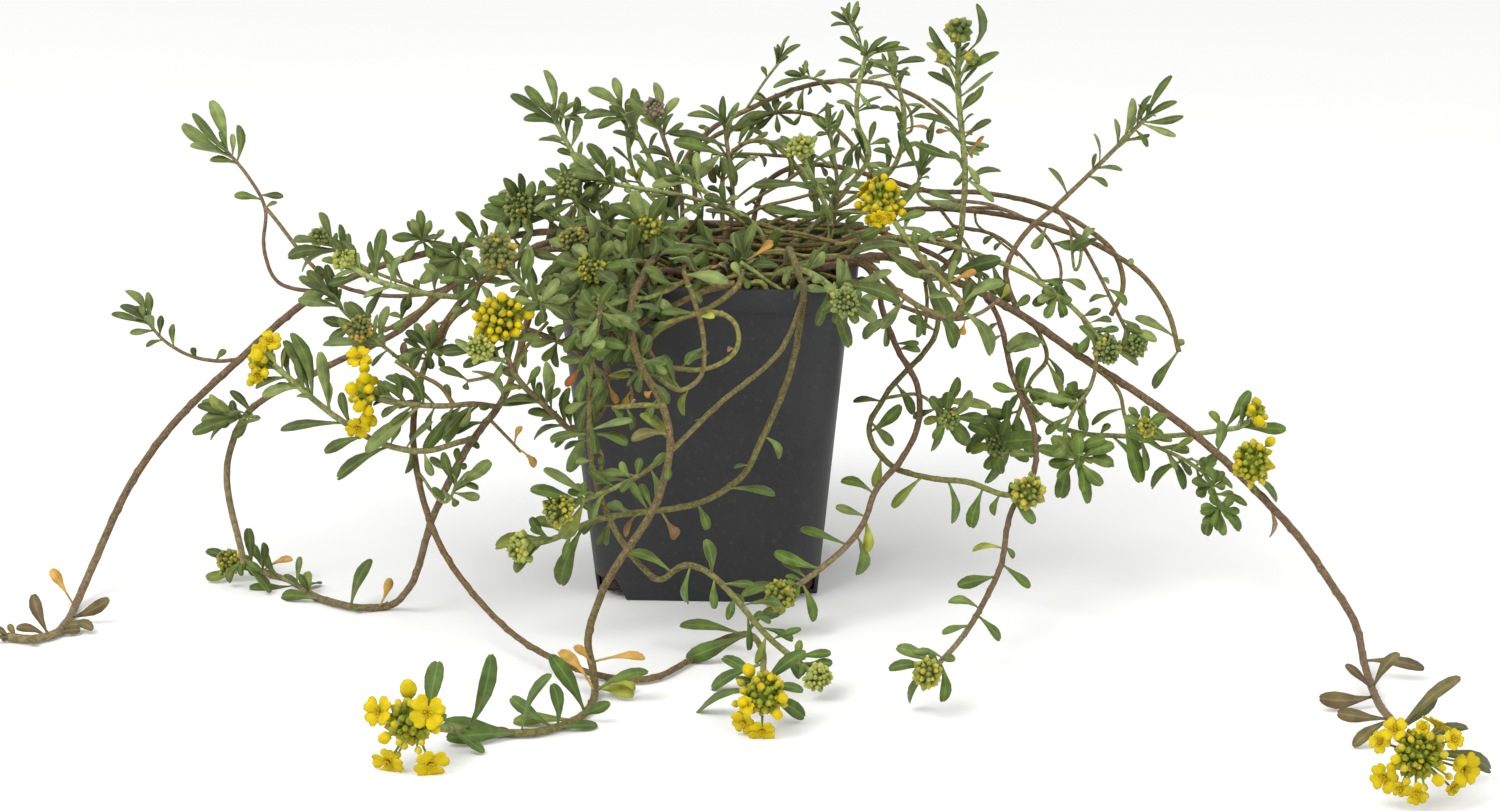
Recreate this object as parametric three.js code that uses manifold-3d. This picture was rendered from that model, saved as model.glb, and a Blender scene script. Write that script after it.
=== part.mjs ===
// Potted mountain alyssum: a square nursery pot of soil with leafy stems, runners and yellow flower heads.
// Millimetres, +Z up, front towards -Y. The origin is the middle of the underside of the pot.
import * as THREE from 'three';
import { mergeVertices } from 'three/addons/utils/BufferGeometryUtils.js';
import Module from 'manifold-3d';

const wasm = await Module();
wasm.setup();

// Pot, a standard 9 x 9 x 10 cm square nursery pot
const rimWidth = 90;
const wallTopWidth = 86;
const baseWidth = 67;
const potHeight = 100;
const bandHeight = 7;
const bandSlant = 0.8;
const wallThick = 1.2;
const baseThick = 1.6;
const cornerRadius = 10;
const cornerSteps = 3;
const notchReach = 10;
const notchHeight = 6.5;
const notchSlant = 1.6;

// Soil
const soilTop = 88;
const soilBump = 1.1;
const soilShoulder = 1;
const soilRings = [1, 0.7, 0.35];
const bumpAcross = [0.31, 0.17];
const bumpAlong = [-0.11, 0.37];
const holeDepth = 9;
const fitGap = 0.35;

// Stems
const runnerSides = 4;
const runnerThick = 1.25;
const shootSides = 3;
const ringStep = 19;
const straightEnough = 10;
const longestChord = 42;
const stemClear = 0.7;
const floorClear = 0.25;
const easeRounds = 60;
const easeShare = 0.6;
const easeLeast = 0.05;
const rootRise = 4;

// Leaves. longLeaf: share of the length, spread and bow of each ring, from the foot outwards.
const leafThick = 1.0;
const leafLong = 17;
const leafWidest = 4.6;
const leafNarrowest = 2.2;
const leafSlimness = 0.26;
const leafClear = 0.35;
const leafBow = 0.07;
const broadAt = 0.64;
const longLeaf = [[0.46, 0.86, 0.08], [0.82, 0.9, 0.07]];
const innerShare = 0.35;
const footSunk = 0.4;
const footPitch = 1.1;
const bareNeck = 0.5;
const goldenAngle = 2.39996;
const leans = [0.25, -0.3, 0.55, -0.6, 0.9, -0.9, 0];
const twists = [0, 0.5, -0.5, 1.1, -1.1];
const fillSpread = 0.95;
const whorlSpread = [0.6, 0.5];
const ruledLift = 0.25;
const lightSide = [0.1, -0.62, 0.75];
const facingSway = [0.5, 0.3, 0.4];

// Heads. petalShape: angle from the petal's middle and share of its reach, anticlockwise.
const knobValley = 0.72;
const smallHead = 5.6;
const bloomCore = 0.74;
const bloomShort = 0.5;
const neckSunk = 0.2;
const bloomRoot = 0.42;
const budRadius = 1.3;
const budBroadAt = 0.62;
const budReach = 0.96;
const budLift = [0.75, -0.9];
const flowerLift = [0.3, 0.25];
const petalReach = 4.6;
const petalThick = 1.1;
const petalCup = 0.5;
const petalShape = [[-22, 1], [22, 1], [45, 0.34]];
const stalkRadius = 0.75;

// View that the stems are traced in: a traced point is the pixel it is seen at and its depth y in mm.
// A traced point with no depth lies on the surface that the pot stands on.
const view = {
  middle: [750, 405.5],
  focal: 4573,
  distance: 1400,
  azimuth: 2.8,
  elevation: 15.6,
  target: [11.9, 0, 52.4],
};

const degree = Math.PI / 180;
const eastward = new THREE.Vector3(1, 0, 0);
const northward = new THREE.Vector3(0, 1, 0);
const up = new THREE.Vector3(0, 0, 1);
const target = new THREE.Vector3(...view.target);
const backward = new THREE.Vector3(
  Math.sin(view.azimuth * degree) * Math.cos(view.elevation * degree),
  -Math.cos(view.azimuth * degree) * Math.cos(view.elevation * degree),
  Math.sin(view.elevation * degree),
);
const eye = target.clone().addScaledVector(backward, view.distance);
const forward = backward.clone().negate();
const rightward = forward.clone().cross(up).normalize();
const upward = rightward.clone().cross(forward);

function sight(px, py) {
  return forward.clone()
    .addScaledVector(rightward, (px - view.middle[0]) / view.focal)
    .addScaledVector(upward, (view.middle[1] - py) / view.focal);
}

function atDepth(px, py, y) {
  const ray = sight(px, py);
  return eye.clone().addScaledVector(ray, (y - eye.y) / ray.y);
}

function atHeight(px, py, z) {
  const ray = sight(px, py);
  return eye.clone().addScaledVector(ray, (z - eye.z) / ray.z);
}

function pixelOf(point) {
  const away = point.clone().sub(eye);
  const scale = view.focal / away.dot(forward);
  return [view.middle[0] + away.dot(rightward) * scale, view.middle[1] - away.dot(upward) * scale];
}

// A small repeatable variation between -1 and 1
function wave(index, kind) {
  return Math.sin(index * 2.4 + kind * 1.7);
}

// Sprays: one record for each leafy stem that stands in the soil.
// root: x, y in mm. thick: radius in mm at the foot and at the end. course: traced points.
// leaves: traced tip x, y and foot x, y. tips: traced tips of leaves that grow at the end.
// fill: from, to (shares of the course), how many leaves, length in mm.
// whorl: how many leaves at the end, length in mm.
// buds: traced middle and radius in mm of a green bud head.
// bloom: the same for a yellow head in a node of its own, with its open flowers and its loose buds.
// side: branches, which leave the nearest stem of the spray at the pixel named from.
const sprays = {
  runner_far_right: {
    root: [25, -3], thick: [1.35, 1], fill: [[0.2, 0.34, 2, 9]],
    course: [[840, 264, -16], [866, 257, -13], [895, 261, -10], [955, 281, -4], [1018, 313, -2],
      [1086, 360, -7], [1142, 396, -14], [1200, 439, -24], [1258, 493, -36], [1297, 535, -46],
      [1330, 582, -60], [1355, 623, -76], [1364, 662, -94], [1377, 700, -124], [1393, 722, -156]],
    leaves: [[1345, 665, 1366, 690], [1318, 699, 1365, 698], [1398, 652, 1374, 687],
      [1424, 665, 1366, 660], [1337, 713, 1385, 723], [1461, 678, 1400, 730], [1436, 690, 1400, 730],
      [1352, 753, 1383, 725], [1276, 537, 1262, 502]],
    tips: [[1490, 772], [1466, 722]],
    bloom: { name: 'bloom_far_right', at: [1421, 758, -200], radius: 12.5, flowers: 7, loose: 4 },
    side: [
      {
        from: [1001, 298], thick: [0.9, 0.6],
        course: [[1006, 271, 2], [1023, 236, 6], [1055, 207, 8], [1086, 174, 8], [1121, 141, 6],
          [1146, 118, 4]],
        leaves: [[1052, 167, 1068, 196], [1108, 186, 1086, 176], [1095, 154, 1092, 170],
          [1134, 98, 1122, 141], [1176, 134, 1140, 122]],
        tips: [[1171, 75], [1184, 117], [1176, 99], [1153, 96], [1147, 147]],
      },
      {
        from: [1055, 207], thick: [0.75, 0.55],
        course: [[1070, 226, 3], [1086, 258, 1], [1103, 291, -1], [1120, 325, -4]],
        leaves: [[1109, 283, 1097, 281], [1089, 301, 1105, 300]],
        tips: [[1156, 339]],
        buds: { at: [1135, 346, -6], radius: 4.5 },
      },
      {
        from: [1098, 283], thick: [0.6, 0.5],
        course: [[1078, 268, 4], [1082, 246, 6]],
        tips: [[1088, 226], [1060, 244]],
      },
      {
        from: [1018, 313], thick: [0.9, 0.7], whorl: [2, 10],
        course: [[1041, 337, 8], [1047, 357, 4], [1031, 380, -2], [1020, 411, -6], [1010, 432, -8]],
        tips: [[1008, 400], [980, 417], [1030, 436], [965, 447], [984, 481], [1032, 458]],
        buds: { at: [998, 446, -12], radius: 4.5 },
      },
      {
        from: [1113, 378], thick: [0.8, 0.6],
        course: [[1119, 392, -14], [1127, 421, -18], [1153, 444, -22], [1185, 460, -26],
          [1206, 474, -28]],
        leaves: [[1149, 486, 1185, 462], [1185, 489, 1166, 452], [1143, 482, 1125, 415],
          [1160, 420, 1150, 440]],
        tips: [[1193, 483], [1206, 457], [1232, 488], [1203, 498], [1190, 466]],
      },
      {
        from: [1200, 471], thick: [0.6, 0.5],
        course: [[1214, 490, -34], [1221, 510, -38]],
        tips: [[1200, 513], [1206, 535], [1224, 536], [1242, 530], [1234, 495]],
      },
      {
        from: [1127, 421], thick: [0.6, 0.5], whorl: [2, 8],
        course: [[1138, 424, -26]],
        buds: { at: [1146, 427, -30], radius: 3.6 },
      },
      {
        from: [1239, 474], thick: [0.8, 0.7],
        course: [[1246, 470, -40]],
        leaves: [[1279, 500, 1246, 474]],
        bloom: { name: 'bloom_right_cluster', at: [1252, 460, -46], radius: 7.5, flowers: 2, loose: 4 },
      },
    ],
  },
  stem_right_arch: {
    root: [20, 22], thick: [1.1, 0.8],
    course: [[800, 236, 26], [840, 213, 28], [885, 211, 30], [940, 209, 28], [1004, 217, 22],
      [1055, 228, 16], [1103, 248, 10], [1148, 281, 4], [1168, 312, 0], [1179, 352, -5]],
    leaves: [[1136, 316, 1171, 339], [1134, 262, 1125, 262]],
    tips: [[1152, 387], [1183, 340]],
    side: [
      {
        from: [984, 214], thick: [0.75, 0.5], whorl: [4, 10],
        course: [[1016, 214, 25], [1040, 230, 24], [1056, 252, 20], [1061, 276, 16], [1057, 292, 14]],
      },
      {
        from: [940, 209], thick: [0.7, 0.5], whorl: [2, 8],
        course: [[953, 226, 25], [970, 250, 22], [981, 285, 19]],
      },
      {
        from: [978, 214], thick: [0.7, 0.5], whorl: [2, 8],
        course: [[1000, 238, 17], [1030, 266, 14], [1048, 290, 11]],
      },
      {
        from: [914, 212], thick: [0.8, 0.5],
        course: [[918, 194, 31], [920, 172, 31]],
        tips: [[904, 137], [940, 152], [921, 140]],
      },
    ],
  },
  stem_right_cut: {
    root: [10, 27], thick: [1.1, 0.8], fill: [[0.2, 0.6, 3, 10]],
    course: [[752, 225, 33], [777, 174, 38], [802, 166, 40], [843, 170, 40], [887, 180, 40],
      [922, 190, 38], [984, 193, 34], [1041, 205, 28], [1086, 228, 21], [1117, 258, 14], [1123, 287, 9],
      [1111, 315, 4]],
  },
  stem_right_rosettes: {
    root: [29, 2], thick: [1.15, 0.7], fill: [[0.3, 0.7, 2, 11]],
    course: [[848, 243, 5], [880, 238, 7], [930, 243, 6], [971, 252, 4], [1016, 277, 0], [1053, 300, -4],
      [1082, 317, -8], [1097, 334, -10]],
    leaves: [[1137, 366, 1104, 345], [1100, 310, 1082, 317], [1010, 300, 990, 262]],
    tips: [[1118, 328], [1080, 352]],
    buds: { at: [1107, 349, -12], radius: 5 },
    side: [
      {
        from: [1092, 329], thick: [0.85, 0.7],
        course: [[1096, 350, -14], [1090, 387, -18], [1073, 412, -22], [1065, 436, -26],
          [1079, 460, -30]],
        tips: [[1038, 446], [1072, 440], [1105, 439], [1116, 463], [1090, 503], [1060, 500]],
      },
      {
        from: [1086, 395], thick: [0.6, 0.5], whorl: [4, 8],
        course: [[1073, 399, -14]],
      },
    ],
  },
  trailer_right_inner: {
    root: [24, -13], thick: [1.1, 0.75], fill: [[0.3, 0.5, 2, 9]],
    course: [[842, 266, -26], [860, 264, -27], [876, 280, -26], [882, 308, -24], [898, 350, -24],
      [917, 385, -27], [918, 425, -31], [901, 460, -36], [876, 490, -41], [864, 522, -47],
      [838, 551, -54], [808, 578, -62]],
    leaves: [[800, 530, 840, 538], [775, 552, 820, 568], [740, 593, 790, 585], [812, 622, 803, 585],
      [860, 578, 857, 536], [868, 552, 867, 520], [841, 480, 871, 493], [835, 508, 864, 516],
      [783, 560, 806, 578], [920, 350, 898, 350], [872, 330, 886, 325]],
    tips: [[762, 618]],
    buds: { at: [781, 596, -68], radius: 5.5 },
  },
  trailer_right_middle: {
    root: [29, -7], thick: [1.05, 0.7], fill: [[0.2, 0.42, 2, 12]],
    course: [[850, 250, -6], [872, 244, -7], [905, 262, -9], [934, 290, -11], [938, 322, -14],
      [912, 360, -18], [884, 398, -23], [869, 430, -28], [888, 463, -33], [930, 478, -38],
      [967, 482, -43], [1008, 495, -50]],
    leaves: [[853, 399, 881, 401], [901, 405, 870, 432], [893, 445, 877, 424], [874, 487, 882, 456],
      [913, 414, 901, 387], [894, 509, 921, 482], [956, 524, 947, 483], [969, 527, 983, 487],
      [993, 515, 1000, 493], [1034, 524, 1008, 500], [960, 340, 938, 312], [908, 318, 932, 330]],
    buds: { at: [1028, 492, -55], radius: 6 },
    side: [
      {
        from: [901, 380], thick: [0.7, 0.6],
        course: [[922, 396, -26], [940, 411, -29]],
        tips: [[960, 378], [912, 416], [937, 453], [966, 444], [992, 405]],
        buds: { at: [949, 419, -32], radius: 3.8 },
      },
    ],
  },
  trailer_right_outer: {
    root: [28, 17], thick: [1.15, 0.7], fill: [[0.16, 0.4, 3, 12]],
    course: [[862, 228, 12], [900, 240, 10], [955, 268, 5], [990, 303, -3], [1003, 346, -12],
      [1014, 380, -18], [1034, 430, -28], [1034, 472, -38], [1012, 510, -50], [1006, 536, -59],
      [1001, 565, -70], [986, 598, -86], [966, 635, -110], [945, 657, -126]],
    leaves: [[972, 547, 1005, 548], [958, 585, 995, 575], [1028, 588, 1003, 564], [1014, 558, 1003, 545],
      [948, 600, 980, 608], [942, 632, 972, 625], [897, 645, 935, 662], [890, 666, 930, 668],
      [907, 702, 935, 668], [945, 702, 940, 662], [1000, 640, 978, 614], [1050, 396, 1018, 388],
      [985, 345, 1002, 335]],
    buds: { at: [927, 674, -138], radius: 5 },
    side: [
      {
        from: [1023, 401], thick: [0.75, 0.65],
        course: [[1043, 418, -20], [1076, 432, -17], [1120, 436, -15], [1167, 432, -17], [1222, 430, -20],
          [1242, 426, -22]],
        leaves: [[1250, 390, 1224, 430], [1212, 412, 1220, 430], [1216, 446, 1230, 430],
          [1285, 430, 1240, 428], [1110, 424, 1100, 435], [1140, 450, 1130, 436]],
        bloom: { name: 'bloom_right_side', at: [1257, 415, -24], radius: 6.5, flowers: 3, loose: 3 },
      },
    ],
  },
  stem_turning_back: {
    root: [17, -20], thick: [1.15, 0.9],
    course: [[838, 258, -28], [866, 262, -33], [898, 292, -37], [925, 309, -40], [950, 316, -43],
      [962, 306, -46], [950, 289, -46], [928, 266, -43], [906, 238, -37], [892, 218, -31]],
    leaves: [[848, 249, 908, 252], [956, 347, 938, 314], [992, 355, 962, 312], [920, 337, 912, 302],
      [930, 234, 912, 248], [860, 300, 898, 292], [880, 328, 905, 298], [975, 270, 945, 284]],
    tips: [[846, 178], [860, 238], [918, 180], [925, 212]],
    bloom: { name: 'bloom_above_rim', at: [884, 204, -26], radius: 8.5, flowers: 3, loose: 4 },
  },
  shoot_tall_right: {
    root: [24, 27], thick: [1.1, 0.7],
    course: [[858, 232, 24], [900, 255, 18], [934, 275, 12], [950, 262, 10], [957, 232, 10],
      [964, 198, 10], [959, 160, 10], [956, 120, 10], [958, 82, 10], [958, 56, 10]],
    leaves: [[929, 27, 957, 60], [984, 12, 958, 58], [927, 42, 957, 72], [997, 51, 958, 76],
      [928, 72, 957, 92], [994, 73, 958, 98], [983, 86, 957, 112], [991, 120, 957, 140],
      [914, 115, 957, 135], [914, 145, 959, 160], [1000, 168, 963, 185], [993, 203, 963, 178],
      [930, 190, 963, 205], [930, 232, 957, 235]],
    buds: { at: [959, 31, 9], radius: 5.2 },
    side: [
      {
        from: [958, 76], thick: [0.5, 0.45],
        course: [[950, 66, 7]],
        buds: { at: [944, 57, 5], radius: 2.8 },
      },
      {
        from: [958, 76], thick: [0.5, 0.45],
        course: [[965, 68, 7]],
        buds: { at: [971, 58, 5], radius: 2.8 },
      },
    ],
  },
  shoot_back_right: {
    root: [14, 12], thick: [1, 0.55],
    course: [[800, 238, 17], [846, 190, 20], [869, 152, 20], [858, 125, 20], [858, 90, 20],
      [866, 55, 20]],
    leaves: [[839, 57, 860, 66], [842, 36, 866, 52], [880, 108, 858, 112], [838, 100, 858, 108],
      [890, 140, 866, 146]],
    tips: [[908, 46], [892, 66], [884, 36], [872, 74]],
    side: [
      {
        from: [868, 51], thick: [0.55, 0.45],
        course: [[854, 33, 18], [849, 21, 18]],
        tips: [[858, 1], [831, 26], [831, 12], [844, 8], [862, 26]],
      },
    ],
  },
  shoot_back_twin: {
    root: [2, 21], thick: [1, 0.55], fill: [[0.4, 0.75, 2, 9]],
    course: [[770, 235, 30], [850, 200, 40], [893, 168, 42], [904, 130, 42], [900, 92, 42],
      [889, 66, 42]],
    leaves: [[930, 128, 904, 130], [880, 108, 903, 115], [925, 108, 902, 105]],
    tips: [[925, 60], [911, 74], [868, 80], [865, 62], [888, 44]],
  },
  stem_high_arch: {
    root: [-8, 24], thick: [1.1, 0.65], whorl: [2, 8], fill: [[0.82, 0.98, 2, 9]],
    course: [[676, 212, 34], [683, 164, 44], [712, 129, 50], [745, 111, 52], [786, 94, 52], [827, 82, 52],
      [881, 84, 51], [922, 100, 49], [950, 124, 47], [966, 150, 45]],
    side: [
      {
        from: [757, 106], thick: [0.55, 0.45],
        course: [[767, 78, 51], [781, 60, 50]],
        leaves: [[762, 66, 767, 78]],
        tips: [[790, 36], [779, 44], [799, 44]],
      },
      {
        from: [802, 88], thick: [0.6, 0.5],
        course: [[803, 76, 47]],
        tips: [[806, 60], [786, 72], [772, 84], [826, 70], [832, 92]],
      },
    ],
  },
  stem_back_arch: {
    root: [-2, 29], thick: [1.05, 0.65], whorl: [2, 9], fill: [[0.4, 0.95, 4, 9]],
    course: [[695, 195, 40], [703, 145, 58], [745, 123, 62], [781, 112, 62], [818, 117, 60],
      [850, 142, 57], [872, 172, 54]],
  },
  stem_small_arch: {
    root: [5, 15], thick: [1, 0.7], whorl: [3, 10], fill: [[0.3, 0.9, 3, 9]],
    course: [[722, 200, 24], [730, 156, 29], [751, 141, 31], [775, 146, 31], [793, 168, 30],
      [812, 190, 29]],
  },
  shoot_bud_centre: {
    root: [19, 5], thick: [0.95, 0.65], whorl: [3, 12],
    course: [[826, 246, 2], [818, 216, 1], [809, 186, 0], [803, 166, -1]],
    leaves: [[820, 272, 824, 240], [832, 220, 814, 202], [752, 180, 807, 182], [761, 136, 803, 165],
      [838, 188, 810, 190], [846, 150, 804, 168], [790, 212, 816, 212]],
    buds: { at: [801, 148, -2], radius: 4.8 },
  },
  shoot_centre_right: {
    root: [23, 16], thick: [0.95, 0.55], fill: [[0.35, 0.95, 3, 11]],
    course: [[832, 225, 13], [837, 195, 12], [835, 165, 12], [830, 130, 12]],
    tips: [[827, 102], [844, 112], [812, 116]],
  },
  shoot_centre: {
    root: [0, 9], thick: [1, 0.6], fill: [[0.35, 0.8, 2, 11]],
    course: [[730, 225, 10], [728, 190, 9], [724, 160, 8], [725, 122, 8]],
    leaves: [[669, 131, 725, 147], [672, 143, 726, 158], [757, 112, 725, 138], [738, 185, 726, 152]],
    tips: [[687, 113], [701, 105], [738, 102], [722, 98]],
  },
  shoot_bud_left: {
    root: [-13, 11], thick: [0.95, 0.6], fill: [[0.4, 0.7, 2, 10]],
    course: [[682, 220, 12], [674, 180, 11], [668, 152, 10], [660, 126, 10]],
    leaves: [[640, 150, 668, 158], [700, 150, 672, 170], [648, 172, 674, 182]],
    tips: [[654, 84], [679, 98], [630, 99], [640, 120], [684, 124]],
    buds: { at: [654, 108, 9], radius: 3.8 },
  },
  shoot_left_back: {
    root: [-19, 20], thick: [1, 0.6], fill: [[0.35, 0.85, 3, 11]],
    course: [[664, 212, 22], [652, 168, 24], [637, 134, 25], [621, 109, 25]],
    tips: [[614, 77], [591, 88], [583, 115], [598, 126], [634, 88]],
    side: [
      {
        from: [662, 200], thick: [0.7, 0.5], whorl: [4, 9],
        course: [[634, 172, 29], [629, 146, 30], [626, 124, 30]],
      },
    ],
  },
  shoot_far_left_up: {
    root: [-28, 9], thick: [1.05, 0.6],
    course: [[606, 225, 8], [586, 190, 8], [574, 160, 8], [553, 115, 8]],
    leaves: [[546, 136, 566, 143], [557, 150, 572, 160], [576, 119, 570, 148], [598, 160, 578, 170],
      [560, 182, 582, 184], [610, 190, 592, 200]],
    tips: [[549, 69], [528, 86], [510, 97], [524, 118], [566, 92]],
    side: [
      {
        from: [563, 134], thick: [0.5, 0.4],
        course: [[571, 118, 6]],
        tips: [[578, 98], [586, 108], [560, 104]],
      },
    ],
  },
  shoot_bud_left_rim: {
    root: [-21, -1], thick: [0.95, 0.65],
    course: [[634, 243, -3], [606, 228, -6], [582, 208, -8]],
    leaves: [[560, 232, 596, 219], [622, 206, 600, 222], [578, 250, 606, 228]],
    tips: [[536, 194], [546, 168], [580, 160], [598, 182]],
    buds: { at: [567, 185, -10], radius: 4.2 },
  },
  shoot_bud_front_left: {
    root: [9, -15], thick: [1, 0.7],
    course: [[742, 256, -22], [714, 249, -27], [671, 243, -32]],
    leaves: [[700, 226, 714, 249], [700, 276, 706, 248], [734, 232, 736, 254]],
    tips: [[638, 195], [688, 218], [612, 219], [668, 274], [630, 258]],
    buds: { at: [646, 227, -36], radius: 5.5 },
  },
  shoot_pale_long: {
    root: [9, 1], thick: [0.9, 0.55], fill: [[0.3, 0.95, 4, 11]],
    course: [[748, 228, 1], [724, 211, -1], [683, 202, -3], [642, 190, -4], [606, 182, -5]],
    tips: [[572, 150], [590, 144], [610, 156], [566, 170], [622, 166]],
  },
  shoot_pale_short: {
    root: [14, -8], thick: [0.9, 0.55], fill: [[0.3, 0.95, 4, 11]],
    course: [[764, 240, -12], [745, 222, -14], [716, 199, -16], [680, 176, -17]],
    tips: [[655, 160], [664, 178], [686, 158], [652, 186]],
  },
  shoot_small_rosette: {
    root: [4, -27], thick: [0.85, 0.6],
    course: [[744, 262, -34]],
    leaves: [[772, 242, 745, 262]],
    tips: [[734, 232], [757, 222], [722, 243], [750, 288], [776, 262]],
  },
  stem_red_brown: {
    root: [-5, -20], thick: [1, 0.7], whorl: [3, 12], fill: [[0.45, 0.95, 3, 12]],
    course: [[712, 268, -33], [696, 274, -45], [676, 286, -54], [646, 298, -58], [620, 296, -58]],
  },
  shoot_bud_rim_right: {
    root: [16, -28], thick: [1.05, 0.75],
    course: [[786, 270, -40], [812, 274, -52], [834, 290, -60]],
    leaves: [[792, 298, 812, 276], [824, 254, 806, 273]],
    tips: [[806, 288], [841, 260], [903, 300], [818, 326], [850, 347], [876, 322]],
    buds: { at: [845, 302, -66], radius: 5 },
  },
  runner_far_left: {
    root: [-26, 18], thick: [1.35, 1], fill: [[0.22, 0.42, 3, 11]],
    course: [[600, 232, 17], [564, 231, 18], [512, 238, 17], [460, 246, 14], [403, 259, 10],
      [362, 273, 6], [320, 293, 2], [283, 320, -2], [240, 359, -6], [200, 393, -10], [161, 439, -15],
      [133, 480, -20], [113, 522, -27], [94, 563, -36], [77, 602, -50], [66, 624, -68], [52, 636],
      [33, 640], [8, 638]],
    leaves: [[52, 568, 65, 600], [107, 600, 72, 618], [32, 594, 48, 632], [94, 645, 64, 628],
      [82, 672, 57, 636], [38, 684, 24, 640], [14, 662, 14, 639], [16, 628, 46, 636], [88, 655, 60, 632],
      [528, 270, 512, 238], [488, 226, 478, 243]],
    tips: [[2, 650]],
    side: [
      {
        from: [241, 357], thick: [0.8, 0.5],
        course: [[222, 361, -6], [194, 357, -6], [166, 342, -6], [144, 318, -6]],
        leaves: [[130, 334, 155, 330], [146, 346, 163, 340], [161, 315, 160, 336], [172, 324, 175, 346],
          [192, 348, 196, 358], [226, 350, 216, 360]],
        tips: [[129, 290], [149, 292], [112, 313], [122, 302]],
      },
      {
        from: [299, 305], thick: [0.8, 0.55],
        course: [[276, 280, 3], [264, 248, 5], [265, 208, 7], [247, 175, 8], [226, 150, 8]],
        leaves: [[234, 196, 262, 200], [277, 202, 265, 208], [283, 196, 262, 194]],
        tips: [[211, 100], [196, 112], [182, 125], [190, 146], [240, 125], [210, 160]],
      },
      {
        from: [432, 252], thick: [0.6, 0.5],
        course: [[422, 240, 12]],
        tips: [[420, 210], [395, 236], [407, 222], [445, 230]],
      },
      {
        from: [474, 244], thick: [0.6, 0.5],
        course: [[460, 258, 8]],
        tips: [[421, 283], [455, 236], [474, 232], [432, 243], [458, 298]],
      },
    ],
  },
  runner_left_low: {
    root: [-29, -10], thick: [1.25, 0.75], fill: [[0.15, 0.35, 2, 11]],
    course: [[590, 252, -12], [564, 249, -14], [510, 264, -16], [455, 284, -18], [425, 306, -19],
      [400, 330, -20], [370, 347, -21], [325, 368, -22], [270, 400, -24], [240, 424, -25],
      [229, 455, -26], [233, 493, -27], [242, 535, -28], [244, 566, -30]],
    leaves: [[536, 284, 530, 258], [500, 244, 510, 262], [470, 300, 480, 274]],
    tips: [[272, 608], [226, 584]],
    side: [
      {
        from: [452, 285], thick: [0.85, 0.6],
        course: [[424, 294, -8], [391, 296, -6], [341, 286, -5], [300, 249, -4], [264, 206, -3]],
      },
      {
        from: [438, 294], thick: [0.7, 0.6],
        course: [[411, 286, -25], [368, 269, -28], [340, 250, -28]],
        tips: [[318, 213], [293, 244], [287, 256], [298, 266], [338, 224]],
        buds: { at: [320, 237, -28], radius: 3.7 },
      },
      {
        from: [370, 347], thick: [0.6, 0.5],
        course: [[350, 318, -17], [334, 300, -15]],
        tips: [[307, 271], [303, 285], [298, 300], [326, 267]],
      },
      {
        from: [270, 400], thick: [0.75, 0.55],
        course: [[258, 417, -30], [236, 418, -32]],
        tips: [[202, 400], [192, 433], [209, 438], [234, 438], [230, 391]],
      },
    ],
  },
  trailer_left_front: {
    root: [-25, -22], thick: [1.3, 0.8], fill: [[0.14, 0.34, 4, 13]],
    course: [[590, 258, -30], [562, 264, -39], [545, 283, -46], [534, 318, -49], [518, 362, -51],
      [498, 407, -54], [474, 438, -56], [454, 473, -56], [435, 512, -55], [422, 554, -53],
      [406, 592, -51], [390, 607], [360, 609], [330, 603], [300, 589], [268, 575]],
    leaves: [[368, 558, 352, 605], [389, 577, 378, 606], [386, 642, 386, 610], [354, 625, 362, 609],
      [280, 632, 322, 602], [300, 575, 310, 594], [206, 548, 240, 566], [206, 580, 240, 570],
      [291, 556, 262, 572], [252, 604, 290, 585], [248, 528, 252, 566], [262, 542, 262, 570],
      [264, 606, 262, 574]],
    buds: { at: [229, 562, -20], radius: 4.6 },
    side: [
      {
        from: [498, 407], thick: [0.9, 0.75],
        course: [[476, 404, -60], [440, 406, -64], [402, 403, -66], [382, 400, -66]],
        leaves: [[394, 372, 400, 403], [445, 384, 452, 405], [462, 428, 470, 405], [428, 432, 436, 406],
          [416, 378, 424, 404]],
        bloom: { name: 'bloom_left_upper', at: [363, 393, -66], radius: 9, flowers: 4, loose: 3 },
      },
      {
        from: [484, 424], thick: [1, 0.75],
        course: [[460, 442, -64], [424, 451, -68], [378, 442, -68], [345, 423, -66], [313, 394, -64],
          [290, 376, -62]],
        leaves: [[318, 352, 332, 410], [343, 391, 354, 425], [289, 338, 313, 394], [262, 396, 302, 386],
          [280, 428, 345, 423], [324, 452, 365, 437], [340, 480, 390, 446], [255, 386, 290, 376],
          [400, 424, 390, 446], [432, 476, 424, 451], [408, 474, 410, 450]],
        bloom: { name: 'bloom_left_tip', at: [263, 358, -60], radius: 6.5, flowers: 3, loose: 3 },
      },
    ],
  },
  runner_front_long: {
    root: [-27, 2], thick: [1.35, 0.9], fill: [[0.12, 0.24, 2, 12]],
    course: [[600, 240, 0], [562, 240, -4], [510, 262, -28], [464, 298, -38], [441, 340, -44],
      [420, 382, -50], [413, 432, -57], [417, 471, -63], [430, 514, -70], [446, 556, -77],
      [476, 597, -84], [520, 634, -95], [563, 663, -106], [600, 677], [640, 681], [686, 664], [717, 643],
      [744, 634, -84], [762, 650, -104]],
    leaves: [[680, 627, 740, 634], [687, 666, 744, 640], [763, 612, 748, 634]],
    tips: [[692, 714], [805, 727], [803, 690], [724, 655], [800, 650]],
    bloom: { name: 'bloom_front_pot', at: [762, 698, -151], radius: 8.8, flowers: 5, loose: 2 },
    side: [
      {
        from: [441, 340], thick: [0.6, 0.5],
        course: [[430, 345, -48]],
        tips: [[415, 323], [436, 322], [462, 346], [402, 341], [424, 370]],
      },
      {
        from: [430, 514], thick: [0.6, 0.5],
        course: [[449, 500, -72], [456, 484, -72]],
        tips: [[443, 453], [489, 459], [480, 499], [457, 506], [431, 489]],
      },
      {
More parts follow.
